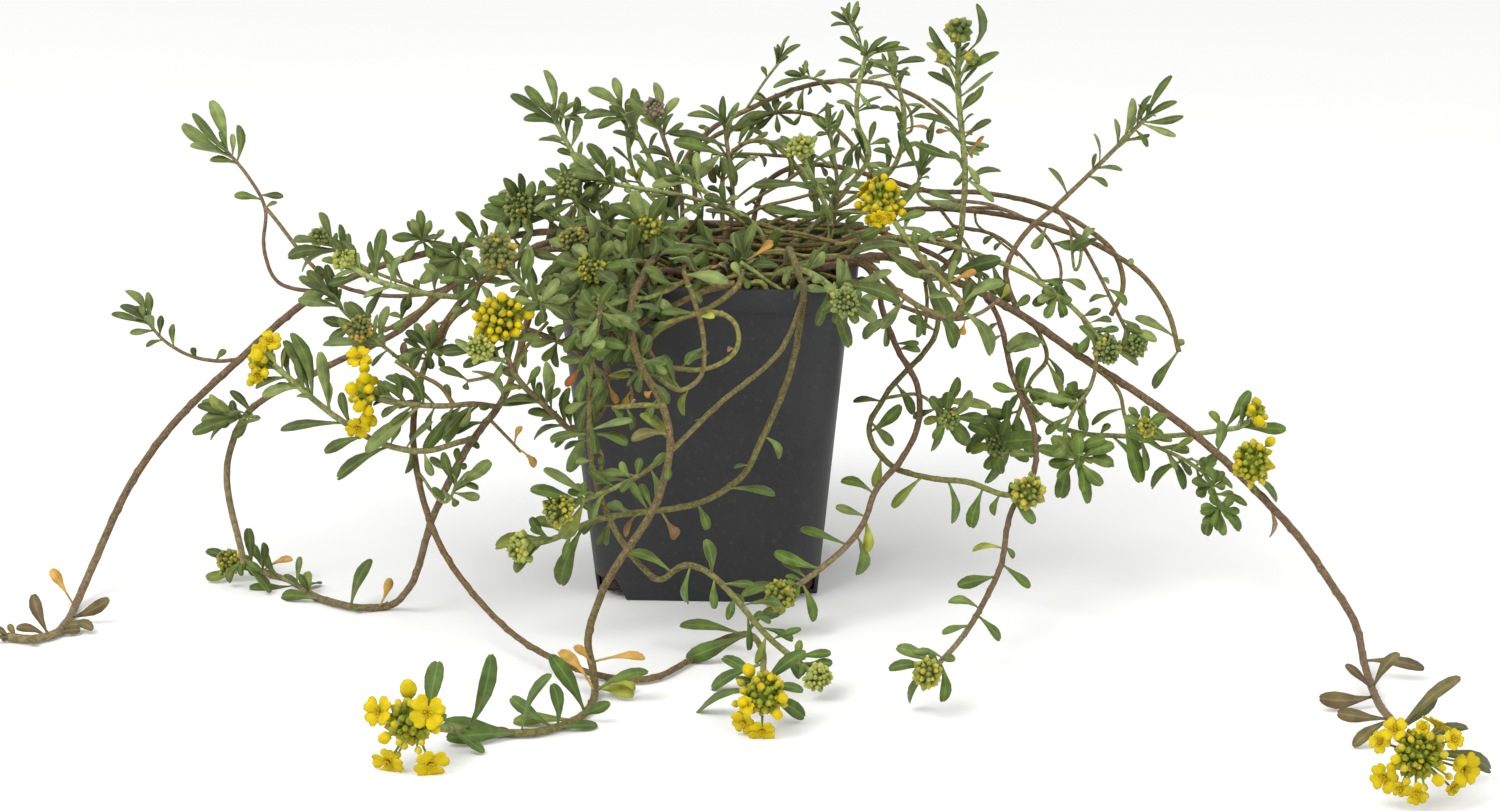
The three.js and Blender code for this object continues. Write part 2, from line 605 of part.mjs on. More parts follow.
        from: [464, 298], thick: [0.7, 0.6],
        course: [[424, 293, -42], [383, 281, -44], [360, 272, -44]],
        leaves: [[384, 229, 374, 278], [400, 256, 392, 283], [404, 312, 410, 290], [440, 272, 436, 294]],
        tips: [[344, 240], [328, 282], [322, 256]],
        buds: { at: [343, 260, -44], radius: 4 },
      },
      {
        from: [420, 380], thick: [0.7, 0.6],
        course: [[399, 359, -54], [376, 341, -55]],
        tips: [[350, 300], [388, 306], [323, 344], [338, 318], [372, 366]],
        buds: { at: [360, 329, -55], radius: 4.8 },
      },
    ],
  },
  shoot_bud_left_brown: {
    root: [-29, 26], thick: [1, 0.7],
    course: [[596, 222, 25], [560, 219, 22], [536, 212, 19]],
    leaves: [[562, 190, 556, 218], [548, 250, 550, 216], [585, 205, 580, 221]],
    tips: [[500, 186], [542, 180], [562, 236], [480, 212], [496, 232]],
    buds: { at: [519, 206, 16], radius: 5.8 },
  },
  shoot_bud_left_orange: {
    root: [-17, -28], thick: [1.05, 0.75], fill: [[0.4, 0.8, 2, 12]],
    course: [[620, 264, -40], [594, 274, -44], [566, 300, -60], [542, 300, -66], [518, 276, -66]],
    leaves: [[590, 318, 572, 300], [536, 326, 548, 304], [552, 274, 536, 295]],
    tips: [[470, 236], [478, 270], [500, 222], [530, 244], [510, 290]],
    buds: { at: [498, 253, -66], radius: 6.3 },
  },
  shoot_bud_rim_left: {
    root: [-22, -14], thick: [1, 0.7],
    course: [[622, 256, -24], [594, 250, -30]],
    leaves: [[610, 232, 610, 252], [600, 284, 604, 252]],
    tips: [[560, 214], [586, 216], [548, 240], [552, 262], [590, 226]],
    buds: { at: [574, 240, -34], radius: 4.8 },
  },
  shoot_bud_rim_front: {
    root: [-11, -26], thick: [1, 0.7],
    course: [[640, 262, -38], [614, 264, -48]],
    leaves: [[630, 292, 628, 262], [616, 240, 626, 262]],
    tips: [[575, 292], [608, 298], [622, 284], [560, 270], [612, 246]],
    buds: { at: [592, 268, -54], radius: 5 },
  },
  trailer_front_left_head: {
    root: [-1, -28], thick: [1.15, 0.8], fill: [[0.25, 0.62, 5, 13]],
    course: [[664, 270, -42], [636, 290, -56], [612, 330, -62], [602, 380, -66], [594, 420, -69],
      [576, 430, -72], [552, 412, -75], [524, 382, -76], [508, 358, -76]],
    leaves: [[532, 436, 566, 424], [568, 472, 586, 428], [556, 448, 576, 430], [540, 366, 528, 386],
      [560, 388, 545, 404]],
    tips: [[470, 300], [540, 338], [476, 362]],
    bloom: { name: 'bloom_left_centre', at: [505, 318, -75], radius: 9.5, flowers: 4, loose: 5 },
    side: [
      {
        from: [518, 374], thick: [0.7, 0.6],
        course: [[496, 360, -80]],
        tips: [[455, 340], [462, 366], [488, 330], [496, 378]],
        buds: { at: [480, 349, -82], radius: 4.6 },
      },
    ],
  },
  stem_front_loop: {
    root: [10, -28], thick: [0.95, 0.7], fill: [[0.3, 0.55, 2, 10]],
    course: [[742, 272, -42], [736, 288, -52], [712, 306, -55], [672, 323, -57], [648, 342, -59],
      [653, 358, -61], [682, 369, -63], [715, 366, -63], [738, 345, -63], [734, 322, -62],
      [720, 312, -61]],
    leaves: [[708, 350, 680, 369], [660, 300, 680, 320], [640, 372, 650, 352]],
  },
  trailer_front_bud: {
    root: [-9, -14], thick: [1, 0.7], fill: [[0.2, 0.9, 4, 12]],
    course: [[690, 266, -34], [684, 272, -46], [694, 300, -62], [704, 345, -68], [698, 380, -70],
      [681, 390, -72], [658, 377, -72], [634, 352, -72], [614, 328, -66]],
    leaves: [[628, 386, 646, 366], [650, 336, 640, 358]],
    tips: [[590, 284], [624, 292], [576, 310], [596, 334]],
    buds: { at: [602, 307, -60], radius: 4.8 },
  },
  trailer_front_fork: {
    root: [23, -28], thick: [1.3, 0.8], fill: [[0.5, 0.65, 2, 8]],
    course: [[786, 262, -38], [798, 272, -49], [803, 300, -53], [800, 330, -54], [792, 365, -55],
      [778, 402, -55], [760, 443, -57], [744, 474, -60], [723, 491, -63], [678, 499, -68],
      [634, 508, -72], [588, 523, -76], [550, 540, -78]],
    leaves: [[774, 497, 728, 490], [709, 529, 694, 497], [679, 538, 657, 503], [495, 546, 548, 541],
      [560, 588, 585, 525], [605, 545, 612, 514], [640, 484, 650, 505]],
    tips: [[512, 570], [530, 518]],
    buds: { at: [522, 547, -79], radius: 5.5 },
    side: [
      {
        from: [799, 332], thick: [0.9, 0.7],
        course: [[784, 345, -60], [752, 372, -66], [719, 404, -72], [678, 446, -80], [641, 474, -86],
          [590, 500, -90]],
        leaves: [[644, 413, 672, 448], [699, 419, 700, 424], [543, 470, 590, 500], [660, 498, 650, 468],
          [620, 462, 632, 480]],
        tips: [[530, 490], [560, 540], [584, 482]],
        buds: { at: [559, 510, -92], radius: 5.5 },
      },
    ],
  },
  runner_front_head: {
    root: [-18, -10], thick: [1.3, 0.95], fill: [[0.12, 0.34, 4, 13]],
    course: [[656, 258, -36], [646, 270, -49], [630, 316, -66], [640, 364, -74], [661, 402, -80],
      [670, 440, -86], [662, 487, -92], [643, 520, -96], [621, 559, -100], [600, 598, -104],
      [588, 640, -110], [594, 676, -116], [592, 704], [571, 723], [530, 734], [490, 733],
      [455, 727, -168]],
    leaves: [[439, 662, 430, 700], [493, 657, 471, 725], [512, 790, 478, 740], [485, 772, 455, 731],
      [446, 760, 520, 740], [548, 674, 522, 728], [510, 700, 552, 728], [553, 657, 582, 712],
      [598, 733, 556, 731], [610, 703, 580, 718], [645, 655, 592, 662], [577, 646, 589, 668],
      [636, 708, 598, 684], [642, 666, 596, 690], [560, 650, 586, 690]],
    bloom: { name: 'bloom_front_left', at: [412, 726, -182], radius: 11.5, flowers: 5, loose: 4 },
  },
  trailer_front_low: {
    root: [-16, -18], thick: [1.15, 0.75], fill: [[0.15, 0.4, 4, 12]],
    course: [[630, 262, -40], [612, 276, -62], [598, 320, -77], [590, 380, -80], [598, 440, -84],
      [601, 498, -88], [619, 537, -90], [643, 568, -92], [657, 579, -94], [668, 573, -96],
      [682, 566, -98], [708, 583, -101], [741, 611, -106], [777, 645, -113], [800, 664, -118]],
    leaves: [[632, 549, 671, 570], [709, 542, 713, 585], [682, 604, 690, 573], [560, 360, 592, 360],
      [566, 412, 592, 400], [632, 420, 596, 430], [576, 462, 599, 460]],
    tips: [[832, 664], [800, 640]],
    buds: { at: [816, 676, -122], radius: 5 },
  },
};

// Closed solid from rings of points, each joined to the next, with a flat cap at both ends
function skin(rings) {
  const sides = rings[0].length;
  const points = rings.flat();
  const faces = [];
  for (let r = 0; r < rings.length - 1; r++) {
    for (let i = 0; i < sides; i++) {
      const a = r * sides + i;
      const b = r * sides + (i + 1) % sides;
      faces.push(a, b, b + sides, a, b + sides, a + sides);
    }
  }
  const last = (rings.length - 1) * sides;
  for (let i = 1; i < sides - 1; i++) {
    faces.push(0, i + 1, i);
    faces.push(last, last + i, last + i + 1);
  }
  return new THREE.BufferGeometry().setFromPoints(points).setIndex(faces);
}

function solidOf(geometry) {
  const plain = geometry.clone();
  plain.deleteAttribute('normal');
  plain.deleteAttribute('uv');
  const merged = mergeVertices(plain, 1e-4);
  const mesh = new wasm.Mesh({
    numProp: 3,
    vertProperties: new Float32Array(merged.attributes.position.array),
    triVerts: new Uint32Array(merged.index.array),
  });
  return new wasm.Manifold(mesh);
}

function geometryOf(solid) {
  const mesh = solid.getMesh();
  const geometry = new THREE.BufferGeometry();
  geometry.setAttribute('position', new THREE.BufferAttribute(mesh.vertProperties, 3));
  geometry.setIndex(new THREE.BufferAttribute(mesh.triVerts, 1));
  return geometry;
}

function joinAll(solids) {
  return wasm.Manifold.union(solids);
}

// Rounded square at height z, seen from above and running anticlockwise
function roundedSquare(width, radius, z) {
  const points = [];
  const reach = width / 2 - radius;
  for (let corner = 0; corner < 4; corner++) {
    const middle = (45 + corner * 90) * degree;
    const cx = Math.sign(Math.cos(middle)) * reach;
    const cy = Math.sign(Math.sin(middle)) * reach;
    for (let step = 0; step <= cornerSteps; step++) {
      const angle = corner * 90 * degree + (step / cornerSteps) * 90 * degree;
      points.push(new THREE.Vector3(cx + radius * Math.cos(angle), cy + radius * Math.sin(angle), z));
    }
  }
  return points;
}

function widthAt(z) {
  return baseWidth + (wallTopWidth - baseWidth) * (z / (potHeight - bandHeight));
}

// Pot: outer shell less its inside, less a slanting notch at each bottom corner
function makePot() {
  const bandFoot = potHeight - bandHeight;
  const outer = solidOf(skin([
    roundedSquare(baseWidth, cornerRadius, 0),
    roundedSquare(wallTopWidth, cornerRadius, bandFoot),
    roundedSquare(rimWidth, cornerRadius + 1, bandFoot + bandSlant),
    roundedSquare(rimWidth, cornerRadius + 1, potHeight),
  ]));
  const inner = solidOf(skin([
    roundedSquare(widthAt(baseThick) - 2 * wallThick, cornerRadius - wallThick, baseThick),
    roundedSquare(widthAt(potHeight) - 2 * wallThick, cornerRadius - wallThick, potHeight + 1),
  ]));
  let pot = outer.subtract(inner);
  for (const [sx, sy] of [[1, 1], [-1, 1], [-1, -1], [1, -1]]) {
    const square = (inset, z) => {
      const near = baseWidth / 2 - notchReach + inset;
      const far = baseWidth / 2 + notchReach;
      const corners = [[near, near], [far, near], [far, far], [near, far]];
      const ring = corners.map(([x, y]) => new THREE.Vector3(x * sx, y * sy, z));
      return sx * sy > 0 ? ring : ring.reverse();
    };
    pot = pot.subtract(solidOf(skin([square(0, -1), square(notchSlant, notchHeight)])));
  }
  return pot;
}

function soilHeight(x, y) {
  return soilTop + soilBump * Math.sin(x * bumpAcross[0] + y * bumpAcross[1])
    * Math.cos(x * bumpAlong[0] + y * bumpAlong[1]);
}

// Soil: a tapering block with a lumpy top, one plain upright hole for each stem
function makeSoil(stems) {
  const inset = 2 * (wallThick + fitGap);
  const foot = baseThick + fitGap;
  const rings = [roundedSquare(widthAt(foot) - inset, cornerRadius - wallThick, foot)];
  const topWidth = widthAt(soilTop) - inset;
  for (const share of soilRings) {
    const ring = roundedSquare(topWidth, cornerRadius - wallThick, soilTop);
    ring.forEach((p) => {
      p.x *= share;
      p.y *= share;
      p.z = share === 1 ? soilTop - soilShoulder : soilHeight(p.x, p.y);
    });
    rings.push(ring);
  }
  let soil = solidOf(skin(rings));
  const holes = stems.map(({ root, radius, sides }) => {
    const wide = radius + fitGap / Math.cos(Math.PI / sides);
    const ring = (z) => regularRing(new THREE.Vector3(root.x, root.y, z), eastward, northward, wide, sides);
    return solidOf(skin([ring(root.z - fitGap), ring(soilTop + 3 * soilBump)]));
  });
  return soil.subtract(joinAll(holes));
}

function regularRing(centre, across, along, radius, sides) {
  const ring = [];
  for (let i = 0; i < sides; i++) {
    const angle = (i / sides) * 2 * Math.PI;
    ring.push(centre.clone()
      .addScaledVector(across, radius * Math.cos(angle))
      .addScaledVector(along, radius * Math.sin(angle)));
  }
  return ring;
}

// Points of a smooth curve through the course, about one ring step apart
function smooth(course) {
  const curve = new THREE.CatmullRomCurve3(course, false, 'catmullrom', 0.5);
  const spans = course.length - 1;
  const points = [];
  for (let i = 0; i < spans; i++) {
    const steps = Math.max(1, Math.round(course[i].distanceTo(course[i + 1]) / ringStep));
    for (let k = 0; k < steps; k++) {
      points.push(curve.getPoint((i + k / steps) / spans));
    }
  }
  points.push(course[spans].clone());
  return dropStraight(points);
}

// Leaves out the points where the stem runs almost straight on
function dropStraight(points) {
  const kept = [points[0], points[1]];
  for (let i = 2; i < points.length - 1; i++) {
    const before = kept[kept.length - 1];
    const bend = points[i].clone().sub(before).angleTo(points[i + 1].clone().sub(points[i])) / degree;
    if (bend > straightEnough || before.distanceTo(points[i + 1]) > longestChord) {
      kept.push(points[i]);
    }
  }
  kept.push(points[points.length - 1]);
  return kept;
}

// Nearest approach of the stretches a-b and c-d: share along each, and the offset between them
function nearest(a, b, c, d) {
  const u = b.clone().sub(a);
  const v = d.clone().sub(c);
  const w = a.clone().sub(c);
  const uu = u.dot(u);
  const uv = u.dot(v);
  const vv = v.dot(v);
  const uw = u.dot(w);
  const vw = v.dot(w);
  const spread = uu * vv - uv * uv;
  let s = spread > 1e-9 ? (uv * vw - vv * uw) / spread : 0;
  s = Math.min(1, Math.max(0, s));
  const t = Math.min(1, Math.max(0, (uv * s + vw) / vv));
  s = Math.min(1, Math.max(0, (uv * t - uw) / uu));
  const offset = a.clone().addScaledVector(u, s).sub(c.clone().addScaledVector(v, t));
  return { share: s, offset };
}

// Eases a stem along the line of sight past the stretches of other sprays that are laid already
const laid = [];

function easePast(points, radius, held, spray) {
  for (let round = 0; round < easeRounds; round++) {
    let moved = false;
    for (let i = 0; i < points.length - 1; i++) {
      let worst = 0;
      let push = null;
      for (const other of laid) {
        if (other.spray === spray || other.middle.distanceTo(points[i]) > other.half + 2 * ringStep) {
          continue;
        }
        const meet = nearest(points[i], points[i + 1], other.a, other.b);
        const short = radius + other.radius + stemClear - meet.offset.length();
        if (short > worst) {
          worst = short;
          push = meet;
        }
      }
      if (!push) {
        continue;
      }
      const ray = points[i].clone().sub(eye).normalize();
      const way = push.offset.dot(ray) >= 0 ? 1 : -1;
      const move = way * (worst * easeShare + easeLeast);
      if (i >= held) {
        points[i].addScaledVector(ray, move * (1 - 0.5 * push.share));
      }
      if (i + 1 >= held) {
        points[i + 1].addScaledVector(ray, move * (0.5 + 0.5 * push.share));
      }
      moved = true;
    }
    points.forEach((p) => {
      p.z = Math.max(p.z, radius + floorClear);
    });
    if (!moved) {
      break;
    }
  }
}

// Directions along a stem: a tangent and two crosswise directions that turn as little as possible
function framesOf(points) {
  const frames = [];
  let across = new THREE.Vector3(1, 0, 0);
  for (let i = 0; i < points.length; i++) {
    const before = points[Math.max(0, i - 1)];
    const after = points[Math.min(points.length - 1, i + 1)];
    const tangent = after.clone().sub(before).normalize();
    across = across.clone().addScaledVector(tangent, -across.dot(tangent));
    if (across.length() < 0.05) {
      across = tangent.clone().cross(up);
    }
    across.normalize();
    frames.push({ tangent, across, along: tangent.clone().cross(across) });
  }
  return frames;
}

function sidesFor(thick) {
  return thick[0] >= runnerThick ? runnerSides : shootSides;
}

function radiusAt(stem, share) {
  return stem.thick[0] + (stem.thick[1] - stem.thick[0]) * share;
}

// Closed solid from one point through rings of points to another point
function spindle(foot, rings, tip) {
  const sides = rings[0].length;
  const points = [...rings.flat(), foot, tip];
  const faces = [];
  for (let r = 0; r < rings.length - 1; r++) {
    for (let i = 0; i < sides; i++) {
      const a = r * sides + i;
      const b = r * sides + (i + 1) % sides;
      faces.push(a, b, b + sides, a, b + sides, a + sides);
    }
  }
  const last = (rings.length - 1) * sides;
  for (let i = 0; i < sides; i++) {
    const next = (i + 1) % sides;
    faces.push(last + sides, next, i);
    faces.push(last + sides + 1, last + i, last + next);
  }
  return solidOf(new THREE.BufferGeometry().setFromPoints(points).setIndex(faces));
}

// Blade: a narrow foot, broadest two thirds of the way out, bowed up, with its underside drawn to a keel.
// A short one is four-cornered and a long one has two rings. margin swells it, for the room that it needs.
function bladeSolid(leaf, margin) {
  const reach = leaf.tip.clone().sub(leaf.foot);
  const length = reach.length();
  const along = reach.clone().normalize();
  const facing = leaf.facing.clone().addScaledVector(along, -leaf.facing.dot(along)).normalize();
  const across = along.clone().cross(facing);
  const foot = leaf.foot.clone().addScaledVector(along, -leaf.sunk);
  const section = (share, spread, bow, keel) => {
    const middle = leaf.foot.clone().addScaledVector(along, share * length).addScaledVector(facing, bow);
    const half = spread * leaf.width / 2 + margin;
    return [
      middle.clone().addScaledVector(across, -half).addScaledVector(facing, margin),
      middle.clone().addScaledVector(across, half).addScaledVector(facing, margin),
      middle.clone().addScaledVector(facing, -keel - margin),
    ];
  };
  if (length > leafLong) {
    const rings = longLeaf.map(([share, spread, bow]) => section(share, spread, bow * length, leafThick));
    return spindle(foot, rings, leaf.tip);
  }
  const bow = Math.max(leafThick, leafBow * length);
  const ring = section(broadAt, 1, bow, bow);
  if (margin > 0) {
    return spindle(foot, [ring], leaf.tip);
  }
  const faces = [0, 2, 1, 3, 1, 2, 0, 3, 2, 0, 1, 3];
  const corners = [foot, ring[0], ring[1], leaf.tip];
  return solidOf(new THREE.BufferGeometry().setFromPoints(corners).setIndex(faces));
}

// Two directions at right angles to out and to each other
function crosswise(out) {
  const side = (Math.abs(out.z) < 0.9 ? up : eastward).clone().cross(out).normalize();
  return [side, out.clone().cross(side)];
}

// Bud: a small spindle from the head's core outwards
function budSolid(foot, out, length) {
  const [side, other] = crosswise(out);
  const middle = foot.clone().addScaledVector(out, length * budBroadAt);
  const tip = foot.clone().addScaledVector(out, length);
  return spindle(foot, [regularRing(middle, side, other, budRadius, 4)], tip);
}

// Knobbly ball: each face of the plain ball rises to a pointed knob, which is one of its outermost buds
function knobblySolid(middle, axis, radius, plain) {
  const turn = new THREE.Quaternion().setFromUnitVectors(up, axis);
  const spots = plain.attributes.position;
  const corners = [];
  for (let i = 0; i < spots.count; i++) {
    corners.push(new THREE.Vector3().fromBufferAttribute(spots, i).applyQuaternion(turn));
  }
  const points = [];
  const valley = (corner) => corner.clone().multiplyScalar(radius * knobValley).add(middle);
  for (let i = 0; i < corners.length; i += 3) {
    const [a, b, c] = corners.slice(i, i + 3);
    const knob = a.clone().add(b).add(c).setLength(radius).add(middle);
    points.push(valley(a), valley(b), knob, valley(b), valley(c), knob, valley(c), valley(a), knob);
  }
  return solidOf(new THREE.BufferGeometry().setFromPoints(points));
}

// Flower: four petals in a cross, drawn together underneath to a thin stalk
function flowerSolid(foot, out, reach, turn) {
  const [side, other] = crosswise(out);
  const middle = foot.clone().addScaledVector(out, reach);
  const points = [];
  for (let petal = 0; petal < 4; petal++) {
    for (const [angle, radius] of petalShape) {
      const heading = (petal * 90 + angle) * degree + turn;
      points.push(middle.clone()
        .addScaledVector(side, radius * petalReach * Math.cos(heading))
        .addScaledVector(other, radius * petalReach * Math.sin(heading))
        .addScaledVector(out, petalCup * radius));
    }
  }
  const rim = points.length;
  const throat = middle.clone().addScaledVector(out, -petalThick);
  points.push(...regularRing(throat, side, other, stalkRadius, 4));
  const apex = points.push(foot) - 1;
  const eyeSpot = points.push(middle) - 1;
  const faces = [];
  for (let i = 0; i < rim; i++) {
    faces.push(eyeSpot, i, (i + 1) % rim);
  }
  for (let petal = 0; petal < 4; petal++) {
    const here = rim + petal;
    const onward = rim + (petal + 1) % 4;
    const first = petal * 3;
    faces.push(here, first + 1, first, here, first + 2, first + 1);
    faces.push(here, onward, first + 2, onward, (first + 3) % rim, first + 2);
    faces.push(apex, onward, here);
  }
  return solidOf(new THREE.BufferGeometry().setFromPoints(points).setIndex(faces));
}

// Head: a knobbly core, and on a yellow head single buds and open flowers that stand out of it
function headSolids(head, axis) {
  const middle = head.centre;
  const core = head.flowers ? head.radius * bloomCore : head.radius;
  const plain = head.radius < smallHead ? new THREE.OctahedronGeometry(1, 0)
    : new THREE.IcosahedronGeometry(1, 0);
  const solids = [knobblySolid(middle, axis, core, plain)];
  const [side, other] = crosswise(axis);
  const direction = (lift, turn) => {
    const flat = Math.sqrt(Math.max(0, 1 - lift * lift));
    return axis.clone().multiplyScalar(lift)
      .addScaledVector(side, flat * Math.cos(turn))
      .addScaledVector(other, flat * Math.sin(turn));
  };
  for (let i = 0; i < (head.loose || 0); i++) {
    const out = direction(budLift[0] + budLift[1] * (i + 0.5) / head.loose, i * goldenAngle + 1);
    const foot = middle.clone().addScaledVector(out, core * bloomRoot);
    solids.push(budSolid(foot, out, head.radius * budReach - core * bloomRoot));
  }
  for (let i = 0; i < (head.flowers || 0); i++) {
    const turn = (i / head.flowers) * 2 * Math.PI + 0.4;
    const out = direction(flowerLift[0] + flowerLift[1] * wave(i, 1), turn);
    const foot = middle.clone().addScaledVector(out, core * bloomRoot);
    solids.push(flowerSolid(foot, out, head.radius - core * bloomRoot - petalCup, 0.6 * wave(i, 7)));
  }
  return solids;
}

// Lays the stems of one spray: its main stem from the soil, then each branch from the nearest stem
function layStem(record, start, spray) {
  const traced = record.course.map(([px, py, y]) => (y === undefined
    ? atHeight(px, py, record.thick[1] + floorClear) : atDepth(px, py, y)));
  const course = [...start, ...traced];
  const head = record.bloom || record.buds;
  if (head) {
    head.centre = atDepth(...head.at);
    const last = course[course.length - 1];
    const toHead = head.centre.clone().sub(last).normalize();
    head.axis = toHead;
    const short = record.bloom ? head.radius * bloomShort + fitGap : head.radius * neckSunk;
    course.push(head.centre.clone().addScaledVector(toHead, -short));
  }
  const points = smooth(course);
  const radius = Math.max(...record.thick);
  easePast(points, radius, start.length, spray);
  if (head) {
    const last = points.length - 1;
    const eased = points[last].clone().sub(course[course.length - 1]);
    head.centre.add(eased);
  }
  const frames = framesOf(points);
  return { thick: record.thick, points, frames, record, head, sides: sidesFor(record.thick) };
}

// Point of a stem at a share of its length, between two rings
function pointAt(stem, share) {
  const last = stem.points.length - 1;
  const place = Math.min(last - 0.02, Math.max(0, share * last));
  const before = Math.floor(place);
  return stem.points[before].clone().lerp(stem.points[before + 1], place - before);
}

// Share of a stem's length that lies a distance in mm back from its end
function shareBack(stem, distance) {
  const last = stem.points.length - 1;
  let left = distance;
  for (let i = last; i > 0; i--) {
    const chord = stem.points[i].distanceTo(stem.points[i - 1]);
    if (left <= chord) {
      return (i - left / chord) / last;
    }
    left -= chord;
  }
  return 0;
}

// Share of a stem's length at which it is seen nearest to a pixel
function shareAt(stem, px, py) {
  const last = stem.points.length - 1;
  const seen = stem.points.map(pixelOf);
  let best = { gap: Infinity, share: 0 };
  for (let i = 0; i < last; i++) {
    const [ax, ay] = seen[i];
    const ux = seen[i + 1][0] - ax;
    const uy = seen[i + 1][1] - ay;
    const t = Math.min(1, Math.max(0, ((px - ax) * ux + (py - ay) * uy) / (ux * ux + uy * uy)));
    const gap = Math.hypot(ax + ux * t - px, ay + uy * t - py);
    if (gap < best.gap) {
      best = { gap, share: (i + t) / last };
    }
  }
  return best.share;
}

function nearestRing(stems, px, py) {
  let best = { gap: Infinity };
  for (const stem of stems) {
    stem.points.forEach((point, index) => {
      const [x, y] = pixelOf(point);
      const gap = Math.hypot(x - px, y - py);
      if (gap < best.gap && (index > 1 || stem.isSide)) {
        best = { gap, stem, index, point };
      }
    });
  }
  return best;
}

const plants = [];
for (const [name, record] of Object.entries(sprays)) {
  const [x, y] = record.root;
  const root = new THREE.Vector3(x, y, soilTop - holeDepth);
  const rise = new THREE.Vector3(x, y, soilTop + rootRise);
  const stems = [layStem(record, [root, rise], name)];
  for (const branch of record.side || []) {
    const joint = nearestRing(stems, ...branch.from);
    const stem = layStem(branch, [joint.point.clone()], name);
    stem.isSide = true;
    stems.push(stem);
  }
  for (const stem of stems) {
    for (let i = 0; i < stem.points.length - 1; i++) {
      const a = stem.points[i];
      const b = stem.points[i + 1];
      laid.push({ a, b, spray: name, radius: Math.max(...stem.thick),
        middle: a.clone().add(b).multiplyScalar(0.5), half: a.distanceTo(b) / 2 });
    }
  }
  plants.push({ name, stems, root, radius: record.thick[0], sides: sidesFor(record.thick) });
}

// Everything that a leaf must stay clear of, in small closed pieces with their boxes
const placed = [];

function place(solid, spray) {
  const { min, max } = solid.boundingBox();
  placed.push({ solid, spray, min, max });
}

function isClear(solid, list, spray) {
  const { min, max } = solid.boundingBox();
  return !list.some((other) => {
    if (other.spray === spray) {
      return false;
    }
    for (let k = 0; k < 3; k++) {
      if (other.min[k] > max[k] || other.max[k] < min[k]) {
        return false;
      }
    }
    return !solid.intersect(other.solid).isEmpty();
  });
}

const pot = makePot();
const soil = makeSoil(plants);
place(pot, 'pot');
place(soil, 'soil');
const heads = [];
for (const plant of plants) {
  plant.solids = [];
  plant.blades = [];
  for (const stem of plant.stems) {
    const rings = stem.points.map((point, i) => {
      const { across, along } = stem.frames[i];
      return regularRing(point, across, along, radiusAt(stem, i / (stem.points.length - 1)), stem.sides);
    });
    plant.solids.push(solidOf(skin(rings)));
    for (let i = 0; i < rings.length - 1; i++) {
      place(solidOf(skin([rings[i], rings[i + 1]])), plant.name);
    }
    if (stem.head) {
      const solids = headSolids(stem.head, stem.head.axis);
      const owner = stem.record.bloom ? stem.record.bloom.name : plant.name;
      solids.forEach((solid) => place(solid, `${owner} head`));
      if (stem.record.bloom) {
        heads.push({ name: owner, solid: joinAll(solids) });
      } else {
        plant.solids.push(...solids);
      }
    }
  }
}

// Leaf: tried at several tips in turn, it takes the first where it clears every other piece
const light = new THREE.Vector3(...lightSide);

function tryLeaf(plant, foot, tips, index, sunk) {
  const sway = facingSway.map((reach, i) => reach * wave(index, i + 2));
  const facing = light.clone().add(new THREE.Vector3(...sway));
  for (const tip of tips) {
    tip.z = Math.max(tip.z, leafThick + 0.5);
    const width = THREE.MathUtils.clamp(tip.distanceTo(foot) * leafSlimness, leafNarrowest, leafWidest);
    const leaf = { foot, tip, width, facing, sunk };
    const outer = bladeSolid({ ...leaf, foot: foot.clone().lerp(tip, innerShare), sunk: 0 }, 0);
    if (isClear(bladeSolid(leaf, leafClear), placed, plant.name) && isClear(outer, plant.blades)) {
      const solid = bladeSolid(leaf, 0);
      plant.solids.push(solid);
      place(solid, plant.name);
      const { min, max } = outer.boundingBox();
      plant.blades.push({ solid: outer, min, max });
      return;
    }
  }
}

// Tips that a leaf at a share of its stem may have by rule: spread out from the stem and turned about it
function ruledTips(stem, share, spread, turn, length) {
  const last = stem.points.length - 1;
  const { tangent, across, along } = stem.frames[Math.min(last, Math.round(share * last))];
  return twists.map((twist) => {
    const out = tangent.clone().multiplyScalar(Math.cos(spread))
      .addScaledVector(across, Math.sin(spread) * Math.cos(turn + twist))
      .addScaledVector(along, Math.sin(spread) * Math.sin(turn + twist))
      .addScaledVector(up, ruledLift)
      .normalize();
    return pointAt(stem, share).addScaledVector(out, length);
  });
}

// Leaves of one stem: the traced ones, then those that fill a stretch, then the whorl at its end
function growLeaves(plant, stem, count) {
  const { record, head, thick } = stem;
  let index = count;
  const grow = (foot, tips) => {
    index += 1;
    tryLeaf(plant, foot, tips(index), index, thick[1] * footSunk);
  };
  const traced = (foot, px, py) => (turn) => {
    const flat = atDepth(px, py, foot.y).distanceTo(foot);
    return leans.map((lean) => atDepth(px, py, foot.y + flat * lean * (turn % 2 ? 1 : -1)));
  };
  for (const [px, py, fx, fy] of record.leaves || []) {
    const foot = pointAt(stem, shareAt(stem, fx, fy));
    grow(foot, traced(foot, px, py));
  }
  const tips = record.tips || [];
  const neck = head && !record.bloom ? head.radius : bareNeck;
  tips.forEach(([px, py], i) => {
    const foot = pointAt(stem, shareBack(stem, neck + footPitch * i));
    grow(foot, traced(foot, px, py));
  });
  for (const [from, to, number, length] of record.fill || []) {
    for (let i = 0; i < number; i++) {
      const share = from + (to - from) * (i + 0.5) / number;
      const reach = length * (1 + 0.2 * wave(i, 5));
      grow(pointAt(stem, share), () => ruledTips(stem, share, fillSpread, i * goldenAngle, reach));
    }
  }
  const [number, length] = record.whorl || [0, 0];
  for (let i = 0; i < number; i++) {
    const share = shareBack(stem, neck + footPitch * (i + tips.length));
    const spread = whorlSpread[0] + whorlSpread[1] * (i / number);
    const reach = length * (1 + 0.15 * wave(i, 6));
    grow(pointAt(stem, share), () => ruledTips(stem, share, spread, i * goldenAngle, reach));
  }
  return index;
}

